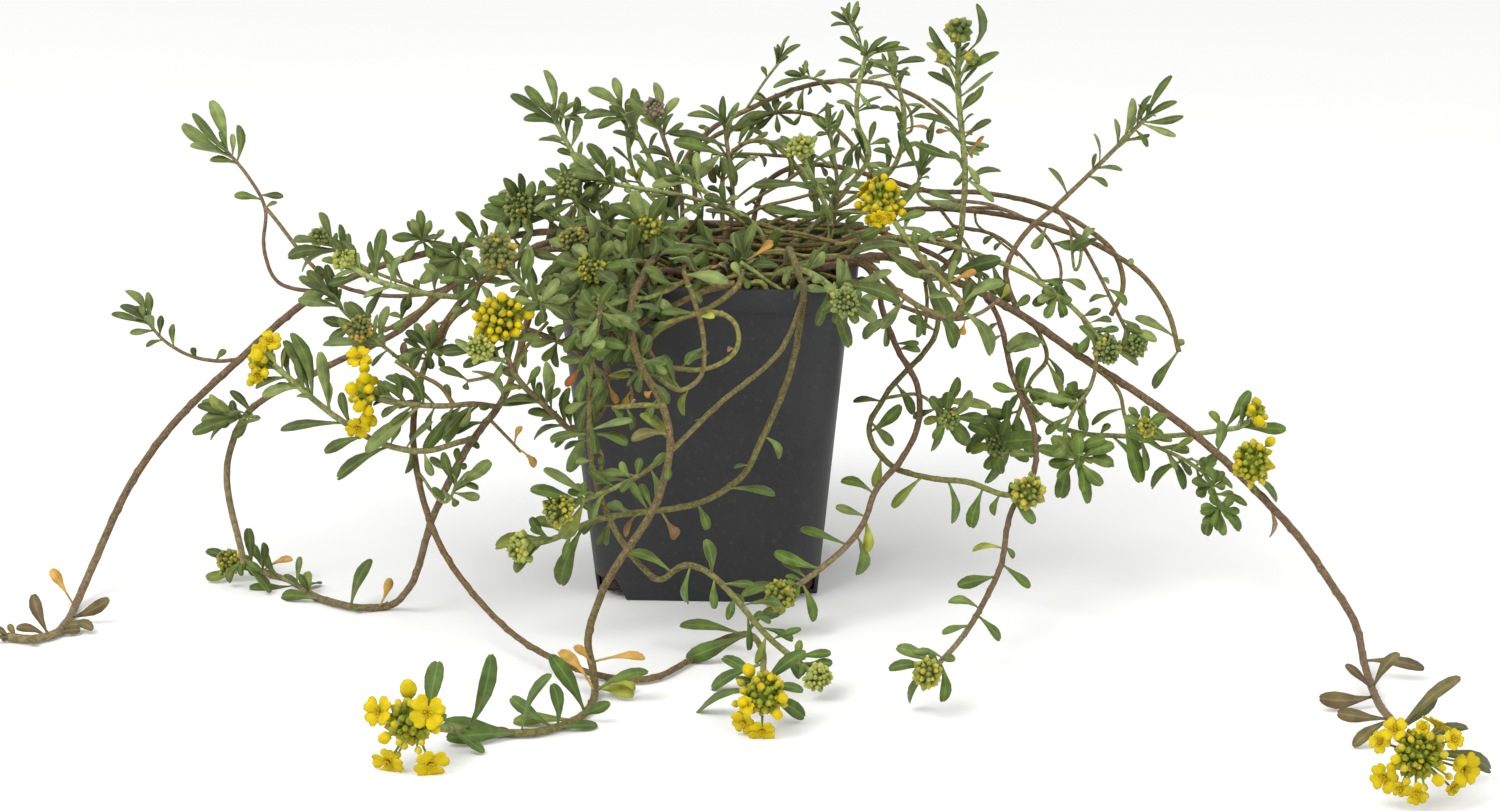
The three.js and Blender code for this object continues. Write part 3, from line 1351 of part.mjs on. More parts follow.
for (const plant of plants) {
  plant.stems.reduce((count, stem) => growLeaves(plant, stem, count), 0);
}

function material(color, roughness) {
  return new THREE.MeshStandardMaterial({ color, roughness, metalness: 0 });
}

const group = new THREE.Group();

function addPart(name, solid, finish) {
  const mesh = new THREE.Mesh(geometryOf(solid), finish);
  mesh.name = name;
  group.add(mesh);
}

addPart('pot', pot, material('#37383a', 0.45));
addPart('soil', soil, material('#3a2c22', 0.95));
for (const plant of plants) {
  addPart(plant.name, joinAll(plant.solids), material('#667c56', 0.7));
}
for (const head of heads) {
  addPart(head.name, head.solid, material('#e6cf1c', 0.6));
}

export default group;
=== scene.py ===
# Looks of a potted mountain alyssum: pot, soil, leafy stems and flower heads, with floor, light and camera
import math
import bmesh
import bpy
import numpy as np
from mathutils import Matrix, Vector, noise
from mathutils.kdtree import KDTree


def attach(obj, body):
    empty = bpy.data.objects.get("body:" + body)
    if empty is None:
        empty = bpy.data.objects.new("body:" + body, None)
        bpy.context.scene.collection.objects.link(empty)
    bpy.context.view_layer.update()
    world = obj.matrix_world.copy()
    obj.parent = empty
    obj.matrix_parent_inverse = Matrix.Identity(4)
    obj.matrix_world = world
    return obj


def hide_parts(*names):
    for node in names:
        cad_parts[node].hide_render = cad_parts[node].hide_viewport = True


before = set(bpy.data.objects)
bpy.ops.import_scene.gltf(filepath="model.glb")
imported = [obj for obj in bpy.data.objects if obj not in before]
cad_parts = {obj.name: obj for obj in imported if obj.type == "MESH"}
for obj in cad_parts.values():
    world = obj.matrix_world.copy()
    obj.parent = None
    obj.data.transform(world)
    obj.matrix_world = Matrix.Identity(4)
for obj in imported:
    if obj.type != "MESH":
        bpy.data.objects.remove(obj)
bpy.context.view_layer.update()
mm = 0.001
degree = math.pi / 180
goldenAngle = 2.39996
up = np.array([0.0, 0.0, 1.0])
norm = np.linalg.norm
scene = bpy.context.scene


# Helpers
def unit(v):
    return v / (norm(v) or 1)


def clip(value, low=0, high=1):
    return min(high, max(low, value))


def wave(index, kind):
    # sway between -1 and 1 that is the same in every run
    return math.sin(index * 2.4 + kind * 1.7)


def mix(a, b, share):
    share = np.asarray(share)[..., None]
    return a * (1 - share) + b * share


def spots(text):
    # "x,y,depth x,y,depth" as a list of tuples
    return [tuple(float(n) for n in spot.split(",")) for spot in text.split()]


def isNear(spot, place, reach):
    return math.hypot(spot[0] - place[0], spot[1] - place[1]) < reach


def treeOf(points):
    tree = KDTree(len(points))
    for i, point in enumerate(points):
        tree.insert(point, i)
    tree.balance()
    return tree


def crosswise(out):
    side = unit(np.cross(up if abs(out[2]) < 0.9 else np.array([1.0, 0, 0]), out))
    return side, np.cross(out, side)


def swung(out, turn):
    # direction square to out, turned round it
    side, other = crosswise(out)
    return side * math.cos(turn) + other * math.sin(turn)


def hexToLinear(code):
    values = [int(code[i:i + 2], 16) / 255 for i in (1, 3, 5)]
    return [v / 12.92 if v <= 0.04045 else ((v + 0.055) / 1.055) ** 2.4 for v in values] + [1.0]


def colour(code):
    return np.array(hexToLinear(code)[:3])


def tonesOf(**codes):
    return {name: colour(code) for name, code in codes.items()}


def addObject(name, data):
    item = bpy.data.objects.new(name, data)
    scene.collection.objects.link(item)
    return item


def newMaterial(name):
    material = bpy.data.materials.new(name)
    material.use_nodes = True
    return material, material.node_tree, material.node_tree.nodes["Principled BSDF"]


def feed(tree, node, inputs):
    # a socket is linked, anything else becomes the input's own value
    for key, value in inputs.items():
        if isinstance(value, bpy.types.NodeSocket):
            tree.links.new(value, node.inputs[key])
        else:
            node.inputs[key].default_value = value


def addNode(tree, kind, inputs, **settings):
    node = tree.nodes.new("ShaderNode" + kind)
    for key, value in settings.items():
        setattr(node, key, value)
    feed(tree, node, inputs)
    return node


def perMm(size):  # pattern scale for features of this size in mm
    return 1 / (size * mm)


def woven(tree, size, detail, low, high, distortion=0):
    # noise in object space with grains of size mm, stretched from low to high between 0 and 1
    spot = addNode(tree, "TexCoord", {}).outputs["Object"]
    grain = addNode(tree, "TexNoise", {"Vector": spot, "Scale": perMm(size), "Detail": detail,
                                       "Distortion": distortion})
    return addNode(tree, "MapRange", {0: grain.outputs[0], 1: low, 2: high}).outputs[0]


def dressShader(tree, shader, base, rough, height, depth, inputs):
    # colour, roughness from low to high over rough, and a bump of depth mm
    grain, low, high = rough
    bump = addNode(tree, "Bump", {"Height": height, "Distance": depth * mm, "Strength": 1.0})
    roughness = addNode(tree, "MapRange", {0: grain, 3: low, 4: high}).outputs[0]
    feed(tree, shader, {"Base Color": base, "Roughness": roughness, "Normal": bump.outputs[0], **inputs})


# Camera: where the photograph was taken from, in mm and pixels of a picture 1500 wide
view = dict(middle=(750, 405.5), focal=4573, width=1500, distance=1400, azimuth=2.8, elevation=15.6,
            target=(11.9, 0, 52.4), sensor=36)
turned = view["azimuth"] * degree
raised = view["elevation"] * degree
backward = np.array([math.sin(turned) * math.cos(raised), -math.cos(turned) * math.cos(raised),
                     math.sin(raised)])
eye = np.array(view["target"]) + backward * view["distance"]
forward = -backward
rightward = unit(np.cross(forward, up))
upward = np.cross(rightward, forward)

lens = bpy.data.cameras.new("studio_camera")
lens.sensor_width = view["sensor"]
lens.lens = view["sensor"] * view["focal"] / view["width"]
lens.clip_start = 0.05
lens.clip_end = 20
scene.camera = addObject("studio_camera", lens)
columns = np.column_stack([rightward, upward, backward, eye * mm])
scene.camera.matrix_world = Matrix([*columns.tolist(), [0, 0, 0, 1]])


def sight(px, py):
    across = (px - view["middle"][0]) / view["focal"]
    above = (view["middle"][1] - py) / view["focal"]
    return forward + rightward * across + upward * above


def atDepth(px, py, y):
    ray = sight(px, py)
    return eye + ray * ((y - eye[1]) / ray[1])


def atHeight(px, py, z):
    ray = sight(px, py)
    return eye + ray * ((z - eye[2]) / ray[2])


def depthOf(point):
    return (point - eye) @ forward


def perPixel(point):  # mm that a pixel covers there
    return depthOf(point) / view["focal"]


def pixelOf(point):
    away = point - eye
    scale = view["focal"] / (away @ forward)
    return np.array([view["middle"][0] + away @ rightward * scale,
                     view["middle"][1] - away @ upward * scale])


# Sprays: one record for each leafy stem that stands in the soil, traced in pixels of the photograph.
# root: x, y in mm. thick: radius in mm at the foot and at the end. course: "x,y,depth" of each point with the
# depth in mm, or "x,y" of a point on the surface under the pot. leaves: "tip x,tip y,foot x,foot y". tips:
# tips of leaves at the end. fill: from, to (shares of the course), how many, length in mm. whorl: how many
# at the end, length in mm. buds, bloom: a head of green buds or of yellow flowers, its radius in mm, the
# kind of its buds and how large they are; a sideOn head keeps the way that its stem points.
# look: tone, how much of it, factors of the radius at the foot and at the end. leafy: mm of its end in leaf.
# side: branches, which leave the nearest stem of the spray at the pixel named start.
sprays = {}
sprays["runner_far_right"] = dict(
    root=(25, -3), thick=(1.35, 1), fill=(0.2, 0.34, 2, 9), look=("bark", 0.5, 0.9, 1.1), leafy=8,
    bloom=dict(name="bloom_far_right", at=(1421, 758, -200), radius=12.5),
    course="840,264,-16 866,257,-13 895,261,-10 955,281,-4 1018,313,-2 1086,360,-7 1142,396,-14 1200,439,-24 "
           "1258,493,-36 1297,535,-46 1330,582,-60 1355,623,-76 1364,662,-94 1377,700,-124 1393,722,-156",
    leaves="1345,665,1366,690 1318,699,1365,698 1398,652,1374,687 1424,665,1366,660 1337,713,1385,723 "
           "1461,678,1400,730 1436,690,1400,730 1352,753,1383,725 1276,537,1262,502",
    tips="1490,772 1466,722",
    side=[dict(
        start=(1001, 298), thick=(0.9, 0.6), look=("purple", 0.45, 1.0, 1.1),
        course="1006,271,2 1023,236,6 1055,207,8 1086,174,8 1121,141,6 1146,118,4",
        leaves="1052,167,1068,196 1108,186,1086,176 1095,154,1092,170 1134,98,1122,141 1176,134,1140,122",
        tips="1171,75 1184,117 1176,99 1153,96 1147,147"
    ), dict(
        start=(1055, 207), thick=(0.75, 0.55), look=("old", 0.8, 0.8, 1.0), leafy=3,
        buds=dict(at=(1135, 346, -6), radius=4.5),
        course="1070,226,3 1086,258,1 1103,291,-1 1120,325,-4",
        leaves="1109,283,1097,281 1089,301,1105,300",
        tips="1156,339"
    ), dict(
        start=(1098, 283), thick=(0.6, 0.5), leafy=5,
        course="1078,268,4 1082,246,6",
        tips="1088,226 1060,244"
    ), dict(
        start=(1018, 313), thick=(0.9, 0.7), whorl=(2, 10), buds=dict(at=(998, 446, -12), radius=4.5),
        course="1041,337,8 1047,357,4 1031,380,-2 1020,411,-6 1010,432,-8",
        tips="1008,400 980,417 1030,436 965,447 984,481 1032,458"
    ), dict(
        start=(1113, 378), thick=(0.8, 0.6),
        course="1119,392,-14 1127,421,-18 1153,444,-22 1185,460,-26 1206,474,-28",
        leaves="1149,486,1185,462 1185,489,1166,452 1143,482,1125,415 1160,420,1150,440",
        tips="1193,483 1206,457 1232,488 1203,498 1190,466"
    ), dict(
        start=(1200, 471), thick=(0.6, 0.5),
        course="1214,490,-34 1221,510,-38",
        tips="1200,513 1206,535 1224,536 1242,530 1234,495"
    ), dict(
        start=(1127, 421), thick=(0.6, 0.5), whorl=(2, 8),
        buds=dict(at=(1146, 427, -30), radius=3.6, kind="ripe"),
        course="1138,424,-26"
    ), dict(
        start=(1239, 474), thick=(0.8, 0.7),
        bloom=dict(name="bloom_right_cluster", at=(1252, 460, -46), radius=7.5),
        course="1246,470,-40",
        leaves="1279,500,1246,474"
    )])
sprays["stem_right_arch"] = dict(
    root=(20, 22), thick=(1.1, 0.8), look=("old", 0.8, 0.74, 1.0), leafy=0,
    course="800,236,26 840,213,28 885,211,30 940,209,28 1004,217,22 1055,228,16 1103,248,10 1148,281,4 "
           "1168,312,0 1179,352,-5",
    leaves="1136,316,1171,339 1134,262,1125,262",
    tips="1152,387 1183,340",
    side=[dict(
        start=(984, 214), thick=(0.75, 0.5), whorl=(4, 10), look=("purple", 0.7, 0.8, 1.0), leafy=8,
        course="1016,214,25 1040,230,24 1056,252,20 1061,276,16 1057,292,14"
    ), dict(
        start=(940, 209), thick=(0.7, 0.5), whorl=(2, 8), look=("old", 0.75, 0.8, 0.8), leafy=8,
        course="953,226,25 970,250,22 981,285,19"
    ), dict(
        start=(978, 214), thick=(0.7, 0.5), whorl=(2, 8), look=("old", 0.75, 0.9, 0.9), leafy=8,
        course="1000,238,17 1030,266,14 1048,290,11"
    ), dict(
        start=(914, 212), thick=(0.8, 0.5),
        course="918,194,31 920,172,31",
        tips="904,137 940,152 921,140"
    )])
sprays["stem_right_cut"] = dict(
    root=(10, 27), thick=(1.1, 0.8), fill=(0.2, 0.6, 3, 10), look=("old", 0.8, 0.74, 1.0), leafy=0,
    course="752,225,33 777,174,38 802,166,40 843,170,40 887,180,40 922,190,38 984,193,34 1041,205,28 "
           "1086,228,21 1117,258,14 1123,287,9 1111,315,4")
sprays["stem_right_rosettes"] = dict(
    root=(29, 2), thick=(1.15, 0.7), fill=(0.3, 0.7, 2, 11), look=("fresh", 0.5, 0.74, 1.1), leafy=12,
    buds=dict(at=(1107, 349, -12), radius=5),
    course="848,243,5 880,238,7 930,243,6 971,252,4 1016,277,0 1053,300,-4 1082,317,-8 1097,334,-10",
    leaves="1137,366,1104,345 1100,310,1082,317 1010,300,990,262",
    tips="1118,328 1080,352",
    side=[dict(
        start=(1092, 329), thick=(0.85, 0.7),
        course="1096,350,-14 1090,387,-18 1073,412,-22 1065,436,-26 1079,460,-30",
        tips="1038,446 1072,440 1105,439 1116,463 1090,503 1060,500"
    ), dict(
        start=(1086, 395), thick=(0.6, 0.5), whorl=(4, 8),
        course="1073,399,-14"
    )])
sprays["trailer_right_inner"] = dict(
    root=(24, -13), thick=(1.1, 0.75), fill=(0.3, 0.5, 2, 9), look=("purple", 0.6, 0.8, 1.2), leafy=10,
    buds=dict(at=(781, 596, -68), radius=5.5, kind="ripe", large=1.3),
    course="842,266,-26 860,264,-27 876,280,-26 882,308,-24 898,350,-24 917,385,-27 918,425,-31 901,460,-36 "
           "876,490,-41 864,522,-47 838,551,-54 808,578,-62",
    leaves="800,530,840,538 775,552,820,568 740,593,790,585 812,622,803,585 860,578,857,536 868,552,867,520 "
           "841,480,871,493 835,508,864,516 783,560,806,578 920,350,898,350 872,330,886,325",
    tips="762,618")
sprays["trailer_right_middle"] = dict(
    root=(29, -7), thick=(1.05, 0.7), fill=(0.2, 0.42, 2, 12), look=("green", 0.7, 0.8, 1.25), leafy=10,
    buds=dict(at=(1028, 492, -55), radius=6, kind="ripe", large=1.3),
    course="850,250,-6 872,244,-7 905,262,-9 934,290,-11 938,322,-14 912,360,-18 884,398,-23 869,430,-28 "
           "888,463,-33 930,478,-38 967,482,-43 1008,495,-50",
    leaves="853,399,881,401 901,405,870,432 893,445,877,424 874,487,882,456 913,414,901,387 894,509,921,482 "
           "956,524,947,483 969,527,983,487 993,515,1000,493 1034,524,1008,500 960,340,938,312 "
           "908,318,932,330",
    side=[dict(
        start=(901, 380), thick=(0.7, 0.6), buds=dict(at=(949, 419, -32), radius=3.8),
        course="922,396,-26 940,411,-29",
        tips="960,378 912,416 937,453 966,444 992,405"
    )])
sprays["trailer_right_outer"] = dict(
    root=(28, 17), thick=(1.15, 0.7), fill=(0.16, 0.4, 3, 12), look=("purple", 0.5, 0.74, 1.2), leafy=14,
    buds=dict(at=(927, 674, -138), radius=5, kind="ripe", large=1.35),
    course="862,228,12 900,240,10 955,268,5 990,303,-3 1003,346,-12 1014,380,-18 1034,430,-28 1034,472,-38 "
           "1012,510,-50 1006,536,-59 1001,565,-70 986,598,-86 966,635,-110 945,657,-126",
    leaves="972,547,1005,548 958,585,995,575 1028,588,1003,564 1014,558,1003,545 948,600,980,608 "
           "942,632,972,625 897,645,935,662 890,666,930,668 907,702,935,668 945,702,940,662 1000,640,978,614 "
           "1050,396,1018,388 985,345,1002,335",
    side=[dict(
        start=(1023, 401), thick=(0.75, 0.65), look=("fresh", 0.5, 0.9, 1.3), leafy=8,
        bloom=dict(name="bloom_right_side", at=(1257, 415, -24), radius=6.5),
        course="1043,418,-20 1076,432,-17 1120,436,-15 1167,432,-17 1222,430,-20 1242,426,-22",
        leaves="1250,390,1224,430 1212,412,1220,430 1216,446,1230,430 1285,430,1240,428 1110,424,1100,435 "
               "1140,450,1130,436"
    )])
sprays["stem_turning_back"] = dict(
    root=(17, -20), thick=(1.15, 0.9), bloom=dict(name="bloom_above_rim", at=(884, 204, -26), radius=8.5),
    course="838,258,-28 866,262,-33 898,292,-37 925,309,-40 950,316,-43 962,306,-46 950,289,-46 928,266,-43 "
           "906,238,-37 892,218,-31",
    leaves="848,249,908,252 956,347,938,314 992,355,962,312 920,337,912,302 930,234,912,248 860,300,898,292 "
           "880,328,905,298 975,270,945,284",
    tips="846,178 860,238 918,180 925,212")
sprays["shoot_tall_right"] = dict(
    root=(24, 27), thick=(1.1, 0.7), buds=dict(at=(959, 31, 9), radius=5.2, kind="olive", large=1.75),
    course="858,232,24 900,255,18 934,275,12 950,262,10 957,232,10 964,198,10 959,160,10 956,120,10 "
           "958,82,10 958,56,10",
    leaves="929,27,957,60 984,12,958,58 927,42,957,72 997,51,958,76 928,72,957,92 994,73,958,98 "
           "983,86,957,112 991,120,957,140 914,115,957,135 914,145,959,160 1000,168,963,185 993,203,963,178 "
           "930,190,963,205 930,232,957,235",
    side=[dict(
        start=(958, 76), thick=(0.5, 0.45),
        buds=dict(at=(944, 57, 5), radius=2.8, kind="olive", large=1.5, sideOn=True),
        course="950,66,7"
    ), dict(
        start=(958, 76), thick=(0.5, 0.45),
        buds=dict(at=(971, 58, 5), radius=2.8, kind="olive", large=1.5, sideOn=True),
        course="965,68,7"
    )])
sprays["shoot_back_right"] = dict(
    root=(14, 12), thick=(1, 0.55),
    course="800,238,17 846,190,20 869,152,20 858,125,20 858,90,20 866,55,20",
    leaves="839,57,860,66 842,36,866,52 880,108,858,112 838,100,858,108 890,140,866,146",
    tips="908,46 892,66 884,36 872,74",
    side=[dict(
        start=(868, 51), thick=(0.55, 0.45),
        course="854,33,18 849,21,18",
        tips="858,1 831,26 831,12 844,8 862,26"
    )])
sprays["shoot_back_twin"] = dict(
    root=(2, 21), thick=(1, 0.55), fill=(0.4, 0.75, 2, 9),
    course="770,235,30 850,200,40 893,168,42 904,130,42 900,92,42 889,66,42",
    leaves="930,128,904,130 880,108,903,115 925,108,902,105",
    tips="925,60 911,74 868,80 865,62 888,44")
sprays["stem_high_arch"] = dict(
    root=(-8, 24), thick=(1.1, 0.65), whorl=(2, 8), fill=(0.82, 0.98, 2, 9), look=("purple", 0.5, 0.8, 1.0),
    leafy=12,
    course="676,212,34 683,164,44 712,129,50 745,111,52 786,94,52 827,82,52 881,84,51 922,100,49 950,124,47 "
           "966,150,45",
    side=[dict(
        start=(757, 106), thick=(0.55, 0.45), leafy=2,
        course="767,78,51 781,60,50",
        leaves="762,66,767,78",
        tips="790,36 779,44 799,44"
    ), dict(
        start=(802, 88), thick=(0.6, 0.5),
        course="803,76,47",
        tips="806,60 786,72 772,84 826,70 832,92"
    )])
sprays["stem_back_arch"] = dict(
    root=(-2, 29), thick=(1.05, 0.65), whorl=(2, 9), fill=(0.4, 0.95, 4, 9), look=("old", 0.5, 0.8, 1.0),
    leafy=12,
    course="695,195,40 703,145,58 745,123,62 781,112,62 818,117,60 850,142,57 872,172,54")
sprays["stem_small_arch"] = dict(
    root=(5, 15), thick=(1, 0.7), whorl=(3, 10), fill=(0.3, 0.9, 3, 9),
    course="722,200,24 730,156,29 751,141,31 775,146,31 793,168,30 812,190,29")
sprays["shoot_bud_centre"] = dict(
    root=(19, 5), thick=(0.95, 0.65), whorl=(3, 12),
    buds=dict(at=(801, 148, -2), radius=4.8, kind="pale", large=1.2),
    course="826,246,2 818,216,1 809,186,0 803,166,-1",
    leaves="820,272,824,240 832,220,814,202 752,180,807,182 761,136,803,165 838,188,810,190 846,150,804,168 "
           "790,212,816,212")
sprays["shoot_centre_right"] = dict(
    root=(23, 16), thick=(0.95, 0.55), fill=(0.35, 0.95, 3, 11), look=("purple", 0.6, 0.85, 1.1),
    course="832,225,13 837,195,12 835,165,12 830,130,12",
    tips="827,102 844,112 812,116")
sprays["shoot_centre"] = dict(
    root=(0, 9), thick=(1, 0.6), fill=(0.35, 0.8, 2, 11), look=("purple", 0.7, 0.85, 1.1),
    course="730,225,10 728,190,9 724,160,8 725,122,8",
    leaves="669,131,725,147 672,143,726,158 757,112,725,138 738,185,726,152",
    tips="687,113 701,105 738,102 722,98")
sprays["shoot_bud_left"] = dict(
    root=(-13, 11), thick=(0.95, 0.6), fill=(0.4, 0.7, 2, 10), look=("purple", 0.7, 0.85, 1.1),
    buds=dict(at=(654, 108, 9), radius=3.8, kind="faded"),
    course="682,220,12 674,180,11 668,152,10 660,126,10",
    leaves="640,150,668,158 700,150,672,170 648,172,674,182",
    tips="654,84 679,98 630,99 640,120 684,124")
sprays["shoot_left_back"] = dict(
    root=(-19, 20), thick=(1, 0.6), fill=(0.35, 0.85, 3, 11),
    course="664,212,22 652,168,24 637,134,25 621,109,25",
    tips="614,77 591,88 583,115 598,126 634,88",
    side=[dict(
        start=(662, 200), thick=(0.7, 0.5), whorl=(4, 9),
        course="634,172,29 629,146,30 626,124,30"
    )])
sprays["shoot_far_left_up"] = dict(
    root=(-28, 9), thick=(1.05, 0.6),
    course="606,225,8 586,190,8 574,160,8 553,115,8",
    leaves="546,136,566,143 557,150,572,160 576,119,570,148 598,160,578,170 560,182,582,184 610,190,592,200",
    tips="549,69 528,86 510,97 524,118 566,92",
    side=[dict(
        start=(563, 134), thick=(0.5, 0.4),
        course="571,118,6",
        tips="578,98 586,108 560,104"
    )])
sprays["shoot_bud_left_rim"] = dict(
    root=(-21, -1), thick=(0.95, 0.65), buds=dict(at=(567, 185, -10), radius=4.2),
    course="634,243,-3 606,228,-6 582,208,-8",
    leaves="560,232,596,219 622,206,600,222 578,250,606,228",
    tips="536,194 546,168 580,160 598,182")
sprays["shoot_bud_front_left"] = dict(
    root=(9, -15), thick=(1, 0.7), buds=dict(at=(646, 227, -36), radius=5.5, kind="ripe", large=1.2),
    course="742,256,-22 714,249,-27 671,243,-32",
    leaves="700,226,714,249 700,276,706,248 734,232,736,254",
    tips="638,195 688,218 612,219 668,274 630,258")
sprays["shoot_pale_long"] = dict(
    root=(9, 1), thick=(0.9, 0.55), fill=(0.3, 0.95, 4, 11),
    course="748,228,1 724,211,-1 683,202,-3 642,190,-4 606,182,-5",
    tips="572,150 590,144 610,156 566,170 622,166")
sprays["shoot_pale_short"] = dict(
    root=(14, -8), thick=(0.9, 0.55), fill=(0.3, 0.95, 4, 11),
    course="764,240,-12 745,222,-14 716,199,-16 680,176,-17",
    tips="655,160 664,178 686,158 652,186")
sprays["shoot_small_rosette"] = dict(
    root=(4, -27), thick=(0.85, 0.6),
    course="744,262,-34",
    leaves="772,242,745,262",
    tips="734,232 757,222 722,243 750,288 776,262")
sprays["stem_red_brown"] = dict(
    root=(-5, -20), thick=(1, 0.7), whorl=(3, 12), fill=(0.45, 0.95, 3, 12),
    course="712,268,-33 696,274,-45 676,286,-54 646,298,-58 620,296,-58")
sprays["shoot_bud_rim_right"] = dict(
    root=(16, -28), thick=(1.05, 0.75), buds=dict(at=(845, 302, -66), radius=5),
    course="786,270,-40 812,274,-52 834,290,-60",
    leaves="792,298,812,276 824,254,806,273",
    tips="806,288 841,260 903,300 818,326 850,347 876,322")
sprays["runner_far_left"] = dict(
    root=(-26, 18), thick=(1.35, 1), fill=(0.22, 0.42, 3, 11), look=("bark", 0.75, 0.74, 1.3), leafy=6,
    course="600,232,17 564,231,18 512,238,17 460,246,14 403,259,10 362,273,6 320,293,2 283,320,-2 240,359,-6 "
           "200,393,-10 161,439,-15 133,480,-20 113,522,-27 94,563,-36 77,602,-50 66,624,-68 52,636 33,640 "
           "8,638",
    leaves="52,568,65,600 107,600,72,618 32,594,48,632 94,645,64,628 82,672,57,636 38,684,24,640 "
           "14,662,14,639 16,628,46,636 88,655,60,632 528,270,512,238 488,226,478,243",
    tips="2,650",
    side=[dict(
        start=(241, 357), thick=(0.8, 0.5), look=("purple", 0.65, 0.8, 1.0), leafy=9,
        course="222,361,-6 194,357,-6 166,342,-6 144,318,-6",
        leaves="130,334,155,330 146,346,163,340 161,315,160,336 172,324,175,346 192,348,196,358 "
               "226,350,216,360",
        tips="129,290 149,292 112,313 122,302"
    ), dict(
        start=(299, 305), thick=(0.8, 0.55), look=("purple", 0.75, 0.8, 1.0), leafy=7,
        course="276,280,3 264,248,5 265,208,7 247,175,8 226,150,8",
        leaves="234,196,262,200 277,202,265,208 283,196,262,194",
        tips="211,100 196,112 182,125 190,146 240,125 210,160"
    ), dict(
        start=(432, 252), thick=(0.6, 0.5),
        course="422,240,12",
        tips="420,210 395,236 407,222 445,230"
    ), dict(
        start=(474, 244), thick=(0.6, 0.5),
        course="460,258,8",
        tips="421,283 455,236 474,232 432,243 458,298"
    )])
sprays["runner_left_low"] = dict(
    root=(-29, -10), thick=(1.25, 0.75), fill=(0.15, 0.35, 2, 11), look=("bark", 0.7, 0.74, 1.35), leafy=6,
    course="590,252,-12 564,249,-14 510,264,-16 455,284,-18 425,306,-19 400,330,-20 370,347,-21 325,368,-22 "
           "270,400,-24 240,424,-25 229,455,-26 233,493,-27 242,535,-28 244,566,-30",
    leaves="536,284,530,258 500,244,510,262 470,300,480,274",
    tips="272,608 226,584",
    side=[dict(
        start=(452, 285), thick=(0.85, 0.6), look=("purple", 0.7, 0.8, 1.0), leafy=0,
        course="424,294,-8 391,296,-6 341,286,-5 300,249,-4 264,206,-3"
    ), dict(
        start=(438, 294), thick=(0.7, 0.6), buds=dict(at=(320, 237, -28), radius=3.7),
        course="411,286,-25 368,269,-28 340,250,-28",
        tips="318,213 293,244 287,256 298,266 338,224"
    ), dict(
        start=(370, 347), thick=(0.6, 0.5),
        course="350,318,-17 334,300,-15",
        tips="307,271 303,285 298,300 326,267"
    ), dict(
        start=(270, 400), thick=(0.75, 0.55),
        course="258,417,-30 236,418,-32",
        tips="202,400 192,433 209,438 234,438 230,391"
    )])
sprays["trailer_left_front"] = dict(
    root=(-25, -22), thick=(1.3, 0.8), fill=(0.14, 0.34, 4, 13), look=("dusty", 0.5, 0.8, 1.35),
    buds=dict(at=(229, 562, -20), radius=4.6, kind="ripe"),
    course="590,258,-30 562,264,-39 545,283,-46 534,318,-49 518,362,-51 498,407,-54 474,438,-56 454,473,-56 "
           "435,512,-55 422,554,-53 406,592,-51 390,607 360,609 330,603 300,589 268,575",
    leaves="368,558,352,605 389,577,378,606 386,642,386,610 354,625,362,609 280,632,322,602 300,575,310,594 "
           "206,548,240,566 206,580,240,570 291,556,262,572 252,604,290,585 248,528,252,566 262,542,262,570 "
           "264,606,262,574",
    side=[dict(
        start=(498, 407), thick=(0.9, 0.75), look=("bark", 0.5, 0.9, 1.2),
        bloom=dict(name="bloom_left_upper", at=(363, 393, -66), radius=9, sideOn=True),
        course="476,404,-60 440,406,-64 402,403,-66 382,400,-66",
        leaves="394,372,400,403 445,384,452,405 462,428,470,405 428,432,436,406 416,378,424,404"
    ), dict(
        start=(484, 424), thick=(1, 0.75), look=("fresh", 0.4, 0.9, 1.3),
        bloom=dict(name="bloom_left_tip", at=(263, 358, -60), radius=6.5, sideOn=True),
        course="460,442,-64 424,451,-68 378,442,-68 345,423,-66 313,394,-64 290,376,-62",
        leaves="318,352,332,410 343,391,354,425 289,338,313,394 262,396,302,386 280,428,345,423 "
               "324,452,365,437 340,480,390,446 255,386,290,376 400,424,390,446 432,476,424,451 "
               "408,474,410,450"
    )])
sprays["runner_front_long"] = dict(
    root=(-27, 2), thick=(1.35, 0.9), fill=(0.12, 0.24, 2, 12), leafy=14,
    bloom=dict(name="bloom_front_pot", at=(762, 698, -151), radius=8.8),
    course="600,240,0 562,240,-4 510,262,-28 464,298,-38 441,340,-44 420,382,-50 413,432,-57 417,471,-63 "
           "430,514,-70 446,556,-77 476,597,-84 520,634,-95 563,663,-106 600,677 640,681 686,664 717,643 "
           "744,634,-84 762,650,-104",
    leaves="680,627,740,634 687,666,744,640 763,612,748,634",
    tips="692,714 805,727 803,690 724,655 800,650",
    side=[dict(
        start=(441, 340), thick=(0.6, 0.5),
        course="430,345,-48",
        tips="415,323 436,322 462,346 402,341 424,370"
    ), dict(
        start=(430, 514), thick=(0.6, 0.5),
        course="449,500,-72 456,484,-72",
        tips="443,453 489,459 480,499 457,506 431,489"
    ), dict(
        start=(464, 298), thick=(0.7, 0.6), look=("fresh", 0.75, 1.2, 1.5),
        buds=dict(at=(343, 260, -44), radius=4, kind="pale"),
        course="424,293,-42 383,281,-44 360,272,-44",
        leaves="384,229,374,278 400,256,392,283 404,312,410,290 440,272,436,294",
        tips="344,240 328,282 322,256"
    ), dict(
        start=(420, 380), thick=(0.7, 0.6), buds=dict(at=(360, 329, -55), radius=4.8, kind="amber"),
        course="399,359,-54 376,341,-55",
        tips="350,300 388,306 323,344 338,318 372,366"
    )])
